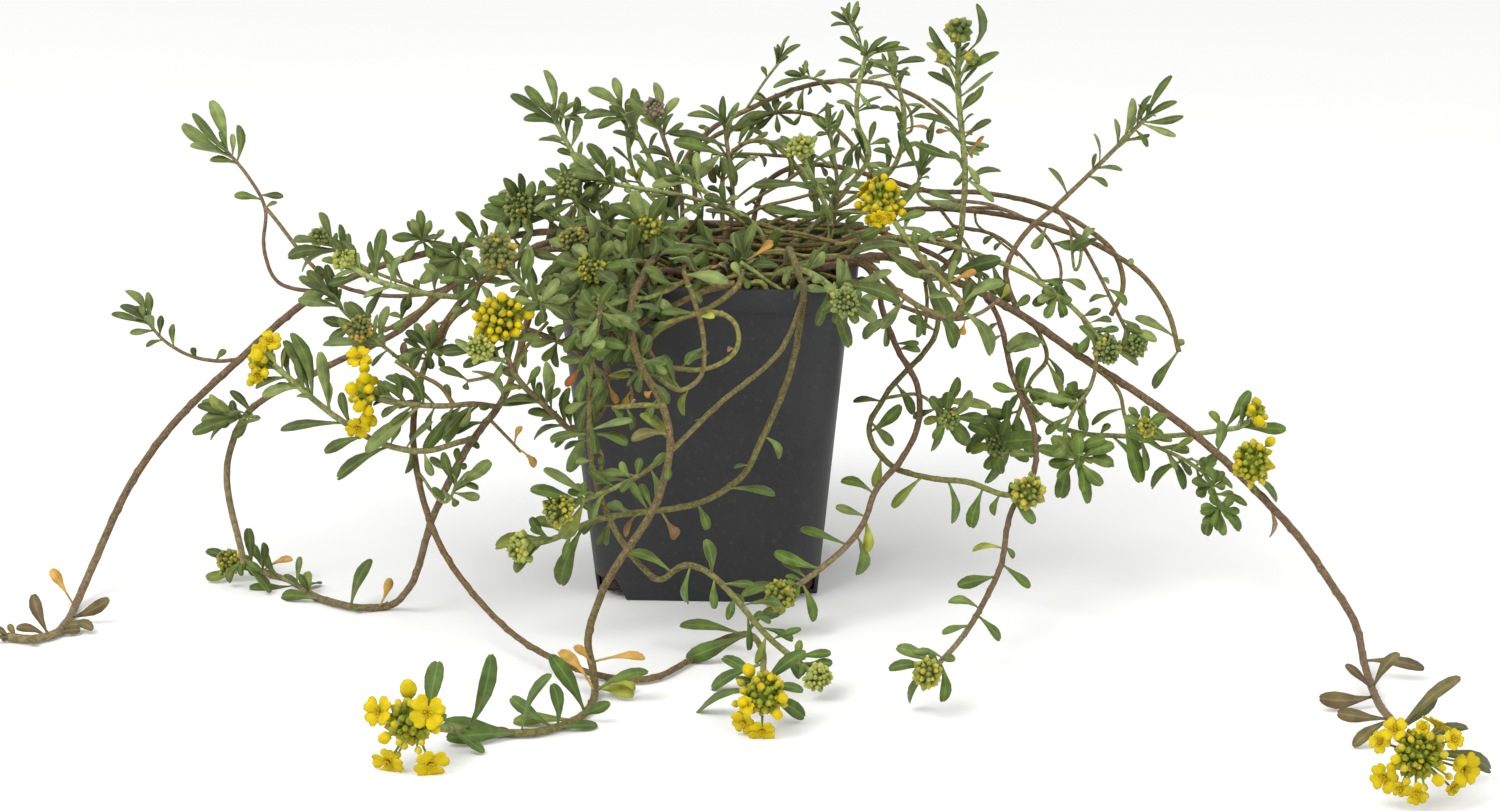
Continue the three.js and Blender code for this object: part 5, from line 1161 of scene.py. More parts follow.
def addHead(pile, centre, axis, radius, rng, kind, large):
    # dome of small buds on short stalks: small and green at the top, larger and yellower round the edge
    low, high, riper = (colour(code) for code in headTones[kind][:3])
    count = int((headRule["few"] + radius * radius * headRule["perArea"]) / large ** 2)
    buds = []
    rods = []
    seed = rng.uniform(0, 90)
    for out in domeDirections(count, axis, headRule["lowest"]):
        outer = (1 - out @ axis) / 1.3
        size = (headRule["size"][0] + headRule["size"][1] * outer) * rng.uniform(*headRule["sizes"]) * large
        reach = radius * (0.92 + rng.normal(0, 0.07) + 0.16 * noise.noise((out * 1.6 + seed).tolist()))
        length = headRule["stretch"] * size
        foot = centre + unit(out + rng.normal(0, 0.09, 3)) * (reach - length)
        out = unit(out + rng.normal(0, 0.12, 3))
        ripe = clip(outer * 1.1 + rng.normal(0, 0.22))
        tip = mix(low, high, min(1, 0.25 + ripe))
        if rng.random() < headTones[kind][3] * (0.5 + outer):
            tip = mix(tip, riper, 0.85)
        base = mix(low, high, ripe * 0.5) * rng.uniform(0.85, 1.1)
        buds.append((foot, out, length, 0.98 * size, base, tip))
        rods.append((centre - axis * radius * 0.3, foot + out * 0.3, 0.36, 0.3))
    widths = np.array(headRule["core"]) * radius * (0.58 if radius < headRule["large"] else 0.68)
    core = drawn(smallBall, centre - axis * radius * 0.7, axis, radius * 1.25, widths)
    # the core ball under the buds is tinted a tenth darker than their foot tone: painted shade deep among the
    # buds
    addShapes(pile, smallBall, core[None], low * 0.9, (0.5, 0, 1), slots["bud"])
    addRods(pile, rods, slots["bud"], low)
    addBuds(pile, buds, slots["bud"])


# Yellow heads in pixels. dome: centre, radius and bud size of the green middle. open: flowers with their
# width. puffs: round yellow buds about to open with their width. buds: smaller yellowish ones
blooms = dict(
    bloom_front_left=dict(
        dome=(411, 722, 27, 1.75),
        open="380,711,30 429,711,33 389,761,29 430,763,33",
        puffs="408,690,19 387,736,14 437,728,10",
        buds="400,702 397,722 401,741 407,744 424,741 420,748 413,702 398,755"),
    bloom_front_pot=dict(
        dome=(763, 694, 25, 1.3),
        open="744,722,24 762,730,25 746,703,16",
        puffs="749,671,14 744,700,13 782,697,12 777,713,12 770,677,8 748,709,12",
        buds="778,683 741,683 735,704 740,714 784,704 743,690 757,679 761,685"),
    bloom_far_right=dict(
        dome=(1417, 753, 28, 1.15),
        open="1394,729,24 1381,742,21 1385,777,28 1413,791,22 1464,769,33 1450,738,20 1419,726,14 "
             "1398,787,15 1452,788,14",
        puffs="1433,777,14 1392,757,11 1437,765,8 1388,765,10 1458,760,12",
        buds="1398,745 1400,766 1426,734 1436,737 1439,752 1420,785 1403,779 1407,737 1446,775"),
    bloom_left_centre=dict(
        dome=(502, 320, 27, 1.3),
        puffs="503,298,11 529,315,12 480,332,12 517,332,10 519,307,9 478,317,10 490,302,8 484,311,8 "
              "496,338,9 492,331,8 519,325,8 507,334,7",
        buds="487,318 496,306 512,303 511,325 500,330 483,325 504,314 492,311 511,314 502,322 495,320"),
    bloom_above_rim=dict(
        dome=(882, 200, 23, 1.3),
        open="879,219,19 888,218,14 870,220,12",
        puffs="890,187,13 859,205,9 884,178,8 908,197,8 901,213,10 902,204,8 865,197,7",
        buds="868,200 866,210 872,189 895,208 875,208 898,190 889,210"),
    bloom_left_upper=dict(
        dome=(366, 396, 15, 1.5),
        open="359,358,25 358,427,25 364,363,15 366,420,16",
        puffs="366,379,14 354,389,15 361,406,14 372,420,12 365,369,12 370,410,12 371,389,11 367,417,13",
        buds="366,403 373,398 358,399"),
    bloom_left_tip=dict(
        dome=(260, 364, 13, 1.5),
        open="270,341,21 259,375,19",
        puffs="259,355,15 251,381,10 277,346,9 266,372,10",
        buds="254,366 257,369 266,360"),
    bloom_right_cluster=dict(
        dome=(1252, 463, 23, 1.2),
        puffs="1270,442,11",
        buds="1237,455 1244,444 1252,443 1258,447 1268,452 1270,466 1262,481 1250,484 1235,466"),
    bloom_right_side=dict(
        dome=(1256, 412, 11, 1.2),
        puffs="1250,409,9 1257,421,13",
        buds="1264,417 1262,424 1257,402"))


def fromPixel(centre, radius, spot):
    # direction out of a head towards the place where a pixel meets its ball
    flat = (np.array(spot) - pixelOf(centre)) * perPixel(centre)
    offset = rightward * flat[0] - upward * flat[1]
    depth = math.sqrt(max(0, radius ** 2 - offset @ offset))
    return offset + backward * depth


# Materials
def plantMaterial(name, look):
    # tint of the corner, darkened and lightened in patches, with veins and a pale underside on leaves
    material, tree, shader = newMaterial(name)
    tint = addNode(tree, "Attribute", {}, attribute_name="tint").outputs["Color"]
    place = addNode(tree, "Attribute", {}, attribute_name="place").outputs["Vector"]
    axes = addNode(tree, "SeparateXYZ", {0: place})
    patch = woven(tree, look["patch"], 3, 0.35, 0.65)
    shade = addNode(tree, "MapRange", {0: patch, 3: look["shade"][0], 4: look["shade"][1]}).outputs[0]
    shaded = addNode(tree, "Mix", {0: 1.0, 6: tint, 7: shade}, data_type="RGBA", blend_type="MULTIPLY")
    base = shaded.outputs[2]
    grain = woven(tree, look["grain"], 2, 0.3, 0.7)
    layers = []  # how much of another colour, and that colour
    if "rib" in look:
        away = addNode(tree, "Math", {0: axes.outputs["Y"]}, operation="ABSOLUTE").outputs[0]
        rib = addNode(tree, "MapRange", {0: away, 1: 0.03, 2: 0.16, 3: look["rib"], 4: 0.0})
        under = addNode(tree, "MapRange", {0: axes.outputs["Z"], 3: look["under"], 4: 0.0})
        layers = [(rib, "#a6b172"), (under, "#87935e")]
    if "scar" in look:
        scars = addNode(tree, "MapRange", {0: grain, 3: 0.0, 4: look["scar"]}).outputs[0]
        old = addNode(tree, "Math", {0: scars, 1: axes.outputs["Y"]}, operation="MULTIPLY")
        layers = [(old, "#4a3a2a")]
    for share, code in layers:
        inputs = {0: share.outputs[0], 6: base, 7: hexToLinear(code)}
        base = addNode(tree, "Mix", inputs, data_type="RGBA").outputs[2]
    dressShader(tree, shader, base, (grain, *look["rough"]), grain, look["bump"], {
        "Sheen Weight": look["sheen"], "Sheen Roughness": 0.5, "Specular IOR Level": look["gloss"],
        "Subsurface Weight": look["glow"], "Subsurface Radius": (0.5, 1.0, 0.2),
        "Subsurface Scale": 0.6 * mm})
    return material


# patch, grain and bump in mm. Downy leaves and woody stems have next to no shine, buds and petals let some
# light through
leafMaterial = plantMaterial("leaf_surface", dict(
    patch=3.5, shade=(0.7, 1.22), grain=0.35, rib=0.2, under=0.4, rough=(0.5, 0.72), bump=0.05, sheen=0.08,
    gloss=0.28, glow=0.05))
stemMaterial = plantMaterial("stem_bark", dict(
    patch=1.3, shade=(0.66, 1.32), grain=0.42, scar=0.85, rough=(0.6, 0.85), bump=0.18, sheen=0.05,
    gloss=0.25, glow=0.0))
budMaterial = plantMaterial("bud_skin", dict(
    patch=1.6, shade=(0.8, 1.18), grain=0.3, rough=(0.5, 0.7), bump=0.04, sheen=0.05, gloss=0.28, glow=0.1))
petalMaterial = plantMaterial("petal", dict(
    patch=2.5, shade=(0.84, 1.1), grain=0.5, rough=(0.5, 0.65), bump=0.03, sheen=0.0, gloss=0.15, glow=0.12))
plantMaterials = [stemMaterial, leafMaterial, budMaterial, petalMaterial]
slots = dict(stem=0, leaf=1, bud=2, petal=3)
print("materials made")


# Leafy stems: one piece for each spray
stemRule = dict(step=1.4, knobPitch=3.3, knobRise=0.3, knobReach=0.8, woodFrom=42, youngTo=11, rough=0.07,
                drift=22, oldest=70)
shootLook = ("fresh", 0.6, 0.95, 1.3)
plainLook = (None, 0.75, 0.74, 1.0)


def fineRoute(stem):
    # smooth curve through the stem's rings: points in mm, their place in rings, their way from the foot
    rings = stem["points"]
    chords = norm(np.diff(rings, axis=0), axis=1)
    if chords[-1] == 0:
        rings, chords = rings[:-1], chords[:-1]
    ways = np.diff(rings, axis=0) / chords[:, None]
    slopes = [ways[0]]
    for i in range(1, len(rings) - 1):
        slopes.append(unit(ways[i - 1] / chords[i - 1] + ways[i] / chords[i]))
    slopes.append(ways[-1])
    points, places = [], []
    for i, chord in enumerate(chords):
        count = max(2, int(round(chord / stemRule["step"])))
        for k in range(count):
            t = k / count
            near, far = slopes[i] * chord, slopes[i + 1] * chord
            after = 3 * t ** 2 - 2 * t ** 3
            bow = near * (t ** 3 - 2 * t ** 2 + t) + far * (t ** 3 - t ** 2)
            points.append(rings[i] * (1 - after) + rings[i + 1] * after + bow)
            places.append(i + t)
    points = np.array(points + [rings[-1]])
    run = np.concatenate([[0], np.cumsum(norm(np.diff(points, axis=0), axis=1))])
    return points, np.array(places + [len(rings) - 1.0]), run


def stemColour(back, side, rng):
    # green near the end of a stem, olive further back, brown where it is old, drifting to and fro
    seed = rng.uniform(0, 90)
    drift = np.array([noise.noise((b / stemRule["drift"], seed, 0)) for b in back])
    reddish = rng.uniform(0.2, 0.8) * np.clip((back - 8) / 20, 0, 1) * np.clip(0.5 + 1.4 * drift, 0, 1)
    back = back * (1 - 0.7 * drift) - 15 * drift
    young = np.clip((back - stemRule["youngTo"]) / 22, 0, 1)
    old = np.clip((back - stemRule["woodFrom"]) / 60, 0, 1)
    tone = mix(mix(stemTones["young"], stemTones["olive"], young), stemTones["brown"], old)
    tone = mix(tone, stemTones["purple"], reddish * (1.0 if side else 0.75))
    return tone, np.clip(back / stemRule["oldest"], 0.1, 1)


def addStems(pile, stems, slot, rng):
    # tubes along every stem of a spray, with a knob at each leaf scar
    curve = bpy.data.curves.new("tubes", "CURVE")
    curve.dimensions = "3D"
    curve.bevel_depth = 1.0
    curve.bevel_resolution = 2
    curve.use_fill_caps = True
    rows = []
    for stem in stems:
        points, places, run = stem["fine"]
        tint, part, atFoot, atEnd = stem["look"]
        foot, end = stem["thick"][0] * atFoot, stem["thick"][1] * atEnd
        radius = foot + (end - foot) * places / (len(stem["points"]) - 1)
        spline = curve.splines.new("POLY")
        spline.points.add(len(points) - 1)
        spline.points.foreach_set("co", np.column_stack([points, np.ones(len(points))]).ravel())
        spline.points.foreach_set("radius", radius)
        tone, age = stemColour(run[-1] - run, stem["isSide"], rng)
        rows.append((points, radius, mix(tone, stemTones[tint], part) if tint else tone, age, run))
    holder = addObject("tubes", curve)
    tubes = bpy.data.meshes.new_from_object(holder.evaluated_get(bpy.context.evaluated_depsgraph_get()))
    bm = bmesh.new()
    bm.from_mesh(tubes)
    bmesh.ops.remove_doubles(bm, verts=bm.verts[:], dist=1e-5)
    shape = takeShape(bm)
    bpy.data.objects.remove(holder)
    bpy.data.curves.remove(curve)
    bpy.data.meshes.remove(tubes)
    spine, radii, tones, ages, runs = (np.concatenate(column) for column in zip(*rows))
    tree = treeOf(spine)
    corners = shape["points"]
    near = np.array([tree.find(corner)[1] for corner in corners])
    out = corners - spine[near]
    angle = np.arctan2(out @ np.array([0.36, 0.48, 0.8]), out @ np.array([0.8, -0.6, 0]))
    order = np.round(runs[near] / stemRule["knobPitch"])
    gap = np.abs(runs[near] - order * stemRule["knobPitch"]) / stemRule["knobReach"]
    facing = np.clip(np.cos(angle - order * goldenAngle), 0, 1) ** 2
    swell = stemRule["knobRise"] * np.exp(-gap ** 2) * facing * ages[near]
    rough = np.array([noise.noise((corner * 0.9).tolist()) for corner in corners]) * stemRule["rough"]
    moved = corners + out * (rough + swell / np.maximum(radii[near], 0.4))[:, None]
    place = np.column_stack([runs[near], ages[near], np.ones(len(corners))])
    addShapes(pile, shape, moved[None], tones[near][None], place[None], slot)


def onFine(stem, share):
    # point of the fine curve at a share of the stem's rings, with its direction
    points, places, _ = stem["fine"]
    place = share * (len(stem["points"]) - 1)
    spot = np.array([np.interp(place, places, points[:, k]) for k in range(3)])
    i = min(len(points) - 2, int(np.searchsorted(places, place)))
    return spot, unit(points[i + 1] - points[max(0, i - 1)])


def inPot(point):
    return point[2] < 99 and abs(point[0]) < 46 and abs(point[1]) < 46


extraRule = dict(inner=4, innerLength=(4.5, 7.5), innerWidth=(1.6, 2.4), innerPitch=0.7, pitch=2.7,
                 pitchAbove=4.3, shootReach=44, sideReach=26, most=0.55, length=(7.5, 12), width=(2.1, 3.1),
                 bare=4, low=1.2)


def leafyReach(stem):
    return stem["record"].get("leafy", extraRule["sideReach" if stem["isSide"] else "shootReach"])


def extraLeaves(stem, rng):
    # small inner leaves round each end, and more along the leafy stretch of a shoot
    points, places, run = stem["fine"]
    record, head = stem["record"], stem["head"]
    if leafyReach(stem) == 0 or not {"tips", "whorl", "fill", "leaves"} & set(record):
        return []
    neck = 1.0 if "bloom" in record else head["radius"] * 0.9 if head else 0.4
    extras = []

    def sprout(back, spread, turn, length, width):
        place = np.interp(run[-1] - back, run, places)
        foot, tangent = onFine(stem, place / (len(stem["points"]) - 1))
        out = tangent * math.cos(spread) + swung(tangent, turn) * math.sin(spread)
        tip = foot + unit(out + up * 0.15) * length
        if tip[2] >= extraRule["low"] and not inPot(tip) and not inPot(foot + (tip - foot) * 0.5):
            facing = unit(tangent * 0.5 + up * 0.6 - forward * 0.5)
            extras.append(dict(foot=foot, tip=tip, width=width, facing=facing, traced=None))

    for k in range(extraRule["inner"]):
        sprout(neck + extraRule["innerPitch"] * k + 0.3, 0.5 + 0.1 * k + rng.normal(0, 0.08),
               k * goldenAngle + 1.1, rng.uniform(*extraRule["innerLength"]),
               rng.uniform(*extraRule["innerWidth"]))
    reach = min(run[-1] * extraRule["most"], leafyReach(stem))
    endX, endY = pixelOf(points[-1])
    pitch = extraRule["pitchAbove" if endX < 900 and endY < 330 else "pitch"]
    start = neck + extraRule["bare"]
    for k in range(int((reach - start) / pitch)):
        back = start + k * pitch + rng.normal(0, 0.5)
        sprout(back, 0.85 + rng.normal(0, 0.12), k * goldenAngle + 0.4, rng.uniform(*extraRule["length"]),
               rng.uniform(*extraRule["width"]))
    return extras


# Leaves and bare twigs that the part has no room for, set on the stem nearest to the camera at a pixel
# tone: pixels of the tip and of the foot of each
moreLeaves = dict(
    plain=(
    "446,754,518,741 513,727,566,702 551,683,557,722 708,691,749,662 519,173,525,199 498,194,512,203 "
    "550,191,532,203 484,206,508,208 505,238,520,222 531,231,519,255 482,220,490,238 470,250,461,266 "
    "440,281,458,275 528,250,530,284 533,207,575,204 560,163,566,182 552,189,574,204 579,179,597,177 "
    "559,242,580,219 594,231,594,258 559,299,588,289 547,288,543,313 495,288,520,284 452,311,477,328 "
    "489,343,498,360 443,354,463,345 466,390,455,370 473,370,495,395 440,368,458,388 522,368,533,350 "
    "546,361,550,397 540,382,546,400 552,383,560,406 584,362,579,393 556,413,568,405 566,400,577,432 "
    "576,395,580,430 608,388,596,427 600,382,592,410 501,389,531,392 508,396,548,413 528,411,565,425 "
    "550,441,585,437 563,446,583,440 480,408,495,402 440,440,475,412 441,420,464,410 480,446,470,450 "
    "595,484,625,470 601,464,625,447 628,446,598,433 600,365,620,350 332,239,345,257 384,250,410,282 "
    "388,264,399,286 366,316,391,289 375,315,377,335 405,297,395,311 390,313,400,320 394,328,403,320 "
    "446,256,430,240 435,258,446,264 424,264,443,270 415,279,424,293 396,357,403,345 397,360,424,362 "
    "443,368,436,358 294,332,313,392 364,450,425,410 386,376,438,402 386,384,412,399 379,380,393,397 "
    "366,400,405,403 380,416,413,406 433,422,404,446 427,450,456,414 456,434,480,424 429,459,448,470 "
    "467,467,461,468 478,490,462,478 569,311,570,335 572,326,597,320 581,350,581,327 598,361,617,350 "
    "632,361,621,336 667,396,650,380 667,374,648,361 601,473,627,461 664,455,635,452 640,458,632,470 "
    "622,418,614,425 633,430,628,422 591,466,601,480 668,478,672,462 601,380,595,390 608,163,618,182 "
    "607,162,600,178 671,187,668,176 628,192,629,202 673,191,666,218 609,204,600,210 690,237,705,208 "
    "692,240,722,247 733,262,742,270 770,266,752,256 612,262,632,242 605,271,626,284 632,274,640,258 "
    "672,258,694,268 692,266,705,254 702,302,690,288 660,309,628,302 636,315,612,318 661,311,690,314 "
    "666,322,650,341 653,323,645,330 575,196,577,172 583,188,597,178 592,213,598,178 592,161,592,172 "
    "572,206,577,222 622,183,637,181 698,127,699,110 690,181,716,150 725,176,718,153 704,129,714,129 "
    "716,164,724,176 739,198,727,203 708,187,719,190 712,218,724,213 730,129,764,114 764,101,768,113 "
    "779,98,773,113 753,97,763,104 786,99,797,93 809,95,807,88 799,110,801,92 804,110,803,92 793,125,799,130 "
    "819,118,828,133 838,119,833,135 816,135,831,138 781,135,794,143 818,136,812,150 832,164,823,155 "
    "827,176,822,158 815,188,815,170 842,165,860,143 840,180,858,176 845,222,864,218 848,230,855,240 "
    "764,167,757,148 765,208,811,209 852,20,868,42 900,42,880,46 863,55,880,44 879,60,892,73 894,57,893,68 "
    "908,67,898,80 850,77,861,70 871,107,861,93 870,155,865,126 899,131,887,150 874,148,892,158 "
    "873,176,883,158 930,146,923,160 898,126,904,130 936,132,951,126 980,183,975,163 955,187,959,167 "
    "961,212,920,202 935,244,903,224 885,236,893,245 890,271,858,277 846,290,843,262 866,280,853,293 "
    "868,347,876,325 888,347,876,326 950,320,931,280 988,330,995,318 1001,259,951,276 982,278,962,250 "
    "965,298,962,275 1004,282,968,304 928,262,947,272 960,250,950,275 983,243,990,238 993,249,998,240 "
    "1006,349,1041,342 1028,357,1032,395 1063,392,1055,363 1114,336,1105,344 1126,306,1104,292 "
    "1141,334,1119,322 1125,358,1121,333 1082,325,1092,348 1073,343,1079,352 1092,425,1104,411 "
    "1143,469,1114,439 1057,436,1066,455 1010,455,1030,453 546,276,574,268 555,292,582,283 562,314,587,300 "
    "552,331,575,318 577,302,592,284 589,324,601,300 571,262,592,258 574,342,590,326 566,354,583,335 "
    "588,312,598,283 606,330,597,300 584,345,596,312 603,360,595,330 581,372,594,342 600,392,593,362 "
    "579,402,591,374 597,424,590,394 577,432,589,405 594,455,588,424 655,284,650,258 640,320,634,292 "
    "621,330,631,305 645,345,631,318 626,362,634,334 655,376,638,348 636,392,643,362 668,404,650,378 "
    "648,420,657,392 1222,421,1213,450 1277,501,1243,481 1251,389,1223,423 1031,248,1046,232 "
    "1078,246,1060,240 1090,302,1091,272 1110,283,1089,274 1038,343,1005,352 1063,386,1054,360 "
    "1085,240,1076,262"),
    bright=(
    "993,385,1012,392 457,448,460,470 592,354,618,344 585,330,602,345 598,343,586,331 441,442,478,413 "
    "722,299,707,283 748,288,746,270 689,288,683,280 1055,397,1028,401 1070,436,1091,427 1130,432,1160,455"),
    lime=(
    "634,706,600,684 630,378,612,376 642,379,615,377 697,213,687,205 715,318,697,315 628,170,636,175 "
    "640,168,637,181 613,186,606,195 794,111,797,122 915,240,908,233 1008,284,998,298 738,143,745,150"),
    rust="565,386,576,367",
    amber=(
    "772,241,751,252 620,352,609,369 617,403,614,381 624,405,622,392 645,396,652,386 687,222,684,228 "
    "709,270,719,261 966,295,969,270"),
    orange="962,335,961,322 520,426,520,449 536,466,521,452",
    dry="425,328,450,311 727,350,735,355 634,401,627,404",
    purple="342,333,350,322 404,342,412,358 561,230,570,206 613,203,613,218",
    olive="631,440,658,435 714,184,708,165")
# radius in mm, tone, depth y in mm (None: on the stem it starts from) and pixels along each
twigs = [
    (0.55, "brown", None, "490,425 505,435 521,452"),
    (0.5, "brown", None, "786,285 777,287 769,283 757,273 745,265"),
    (0.5, "brown", None, "786,273 793,265 790,254 778,250 767,252"),
    (0.55, "brown", 28, "794,157 752,154 712,154"),
    (0.45, "olive", 22, "767,178 751,187 738,197"),
    (0.6, "brown", 18, "802,170 786,181 765,193 745,205"),
    (0.6, "brown", 24, "812,194 840,192 871,193 922,191"),
    (0.5, "olive", None, "908,137 911,131 912,121 910,111 903,100"),
    (0.95, "brown", -50, "735,283 700,293 675,305 653,316 636,326"),
    (0.6, "young", -30, "638,273 663,277 683,282 705,285"),
    (0.7, "olive", -25, "655,258 668,264 683,272 697,277 715,280"),
    (0.6, "young", -28, "690,247 700,250 714,255 728,260"),
    (0.7, "olive", -35, "706,284 736,276 780,274 800,272"),
    (0.85, "olive", -42, "738,285 742,296 751,299 767,291 761,282 748,284"),
    (0.7, "young", -38, "740,262 755,272 770,283 785,292"),
    (0.6, "olive", -20, "752,254 780,253 810,256 840,255"),
    (0.6, "brown", -10, "765,233 790,232 820,238"),
    (0.7, "brown", 0, "660,231 680,231 705,232 730,228"),
    (0.6, "olive", 25, "732,151 748,142 765,140 780,150 790,160 793,174"),
    (0.6, "brown", 15, "742,217 765,206 790,200 812,194"),
    (0.55, "brown", 20, "752,201 770,213 784,220 800,224"),
    (0.7, "olive", 5, "765,227 781,218 802,215 838,212 870,213"),
    (0.8, "brown", -5, "745,222 760,224 790,234 826,240 850,246"),
    (0.6, "purple", 10, "952,200 991,205 1020,216"),
    (0.4, "brown", None, "972,212 976,222 994,237 1018,256"),
    (0.6, "brown", 5, "905,236 934,238 962,247"),
    (0.6, "brown", -10, "842,238 864,231 888,231"),
    (0.6, "brown", -20, "835,245 865,240 891,236"),
    (0.7, "brown", -30, "845,280 867,283 885,286 903,291"),
    (0.7, "purple", -20, "893,303 915,311 944,319 970,317 982,312 1000,299"),
    (0.6, "brown", -10, "925,282 927,298 926,320 924,335"),
    (0.9, "brown", 15, "575,232 600,226 630,224 660,228 690,236"),
    (0.8, "brown", 5, "585,262 605,250 640,246 670,252 700,262"),
    (0.8, "olive", -10, "590,275 620,262 650,262 680,270"),
    (0.7, "olive", -20, "600,292 630,284 660,288 690,296"),
    (0.8, "brown", 10, "770,244 800,246 830,243 860,236 890,228"),
    (0.8, "olive", -25, "690,292 720,286 750,284 790,288"),
    (0.7, "brown", 0, "700,240 730,242 760,246 790,252 815,262"),
    (0.7, "brown", 38, "655,226 690,222 730,225 770,222 810,226 850,224"),
    (0.6, "olive", 33, "700,232 735,229 775,231 815,229 865,233"),
    (0.7, "brown", 26, "640,240 670,236 705,239 740,236 780,240 812,237"),
    (0.8, "brown", 14, "610,252 640,247 680,249 720,250 760,247 800,250 850,246"),
    (0.6, "olive", 10, "690,256 720,259 760,260 800,262 845,258 880,262"),
    (0.8, "brown", -4, "800,269 830,266 860,261 890,256"),
    (0.8, "olive", -8, "628,271 655,268 690,270 720,272"),
    (0.7, "young", 4, "762,253 785,252 795,260 792,272 782,279"),
    (0.8, "purple", -30, "728,262 712,270 697,281 680,291 655,298 625,300"),
    (0.6, "brown", -12, "700,283 730,278 770,277 805,280 840,277 868,283"),
    (0.6, "brown", 20, "760,238 775,246 790,262 800,275"),
    (0.5, "olive", 28, "715,222 728,234 745,243 770,250"),
    (0.6, "brown", 30, "800,220 790,230 775,238 755,244"),
    (0.6, "olive", -20, "770,284 778,276 800,272 830,276 850,284"),
    (0.8, "brown", None, "439,298 425,306 408,318 384,331"),
    (0.9, "brown", None, "486,290 470,305 456,315 447,326 442,340 438,354"),
    (0.7, "brown", None, "455,394 440,386 424,377 408,369 395,361"),
    (0.6, "purple", None, "516,369 500,373 484,378 468,381"),
    (0.6, "brown", None, "520,360 527,346 537,334 548,322"),
    (0.8, "purple", None, "552,308 540,299 526,287 512,277 503,269"),
    (0.6, "brown", None, "580,332 566,320 554,311 540,303"),
    (0.9, "purple", None, "548,336 562,343 578,352 592,365 604,374 619,378"),
    (0.8, "olive", None, "661,405 645,405 630,406 612,408"),
    (0.5, "brown", None, "631,418 631,400 629,380"),
    (0.6, "brown", None, "602,438 602,455 600,474"),
    (0.85, "olive", None, "720,313 705,312 688,316 669,322 655,334 644,348")]
# leaves that stand like a star round a shoot's end: pixel of its middle, length in pixels, number and turn
rosettes = ("950,416,33,7,0.2 997,446,34,8,0.5 1080,462,36,8,0.1 1070,398,15,6,0.4 1053,302,20,6,0.9 "
            "1208,482,18,6,0.3 1221,512,21,7,0.0 521,207,34,8,0.3 645,226,36,8,0.6 590,266,34,8,0.1 "
            "603,307,30,7,0.5 452,262,27,8,0.2 476,285,26,7,0.7 419,241,26,6,0.0 354,330,30,6,0.4 "
            "421,350,26,7,0.2 320,287,22,6,0.6 217,409,20,6,0.1 545,300,28,7,0.8 498,330,26,6,0.3 "
            "575,205,30,7,0.2 772,114,25,7,0.4 845,303,26,7,0.2 1145,425,22,6,0.5 560,345,28,7,0.6")
moreRule = dict(reach=7, apart=6, leans=[-0.3, 0.05, -0.15, 0.2], over=4, clear=2, most=1.3, stalk=0.35,
                frontOf=-55)


def spineOf():
    # every point of every stem: plant, stem and index, place, pixel and depth
    rows = []
    for plant in plants:
        for stem in plant["stems"]:
            rows += [(plant, stem, k) for k in range(len(stem["fine"][0]))]
    points = np.concatenate([stem["fine"][0] for stem in allStems()])
    return rows, points, pixelOf(points).T, depthOf(points)


def frontmost(spine, spot):
    # plant, stem, share and place of the stem point nearest to the camera round a pixel
    rows, points, seen, depths = spine
    gaps = np.hypot(*(seen - spot).T)
    near = np.flatnonzero(gaps < moreRule["reach"])
    pick = int(near[np.argmin(depths[near])]) if len(near) else int(np.argmin(gaps))
    plant, stem, k = rows[pick]
    return plant, stem, stem["fine"][1][k] / (len(stem["points"]) - 1), points[pick]


def broughtForward(spine, foot, tip):
    # leans a leaf towards the camera until its outer half passes in front of the stems behind it
    move = 0
    for part in (0.6, 0.8, 1.0):
        spot = foot + (tip - foot) * part
        near = np.hypot(*(spine[2] - pixelOf(spot)).T) < moreRule["over"]
        if near.any():
            move = max(move, (depthOf(spot) - spine[3][near].min() + moreRule["clear"]) / part)
    return tip - unit(tip - eye) * min(move, moreRule["most"] * norm(tip - foot))


def addTwigs(spine):
    # bare twigs, each in the plant whose stem it starts from
    for radius, tone, depth, route in twigs:
        route = spots(route)
        plant, _, _, foot = frontmost(spine, route[0])
        start = foot if depth is None else atDepth(*route[0], depth)
        points = np.array([start] + [atDepth(*spot, start[1]) for spot in route[1:]])
        twig = dict(points=points, record={}, head={}, thick=(radius / 0.74, radius * 0.85), isSide=True,
                    leaves=[], look=(tone, *plainLook[1:]))
        twig["fine"] = fineRoute(twig)
        plant["stems"].append(twig)


def addMore(spine):
    standing = np.array([leaf["traced"] for stem in allStems() for leaf in stem["leaves"] if leaf["traced"]])
    for tone, traced in moreLeaves.items():
        for number, (px, py, fx, fy) in enumerate(spots(traced)):
            if tone == "plain" and np.hypot(*(standing - (px, py)).T).min() < moreRule["apart"]:
                continue
            _, stem, share, foot = frontmost(spine, (fx, fy))
            lean = moreRule["leans"][number % 4] * norm(atDepth(px, py, foot[1]) - foot)
            tip = atDepth(px, py, foot[1] + lean)
            if abs(tip[0]) < 52 and tip[2] < 92 and foot[1] < -20:
                tip = atDepth(px, py, min(tip[1], moreRule["frontOf"]))
            leaf = makeLeaf(foot, broughtForward(spine, foot, tip), number, share=share, traced=(px, py))
            if tone != "plain":
                leaf["tone"] = leafTones[tone]
            if tone in withered:
                leaf["stalk"] = moreRule["stalk"]
            stem["leaves"].append(leaf)


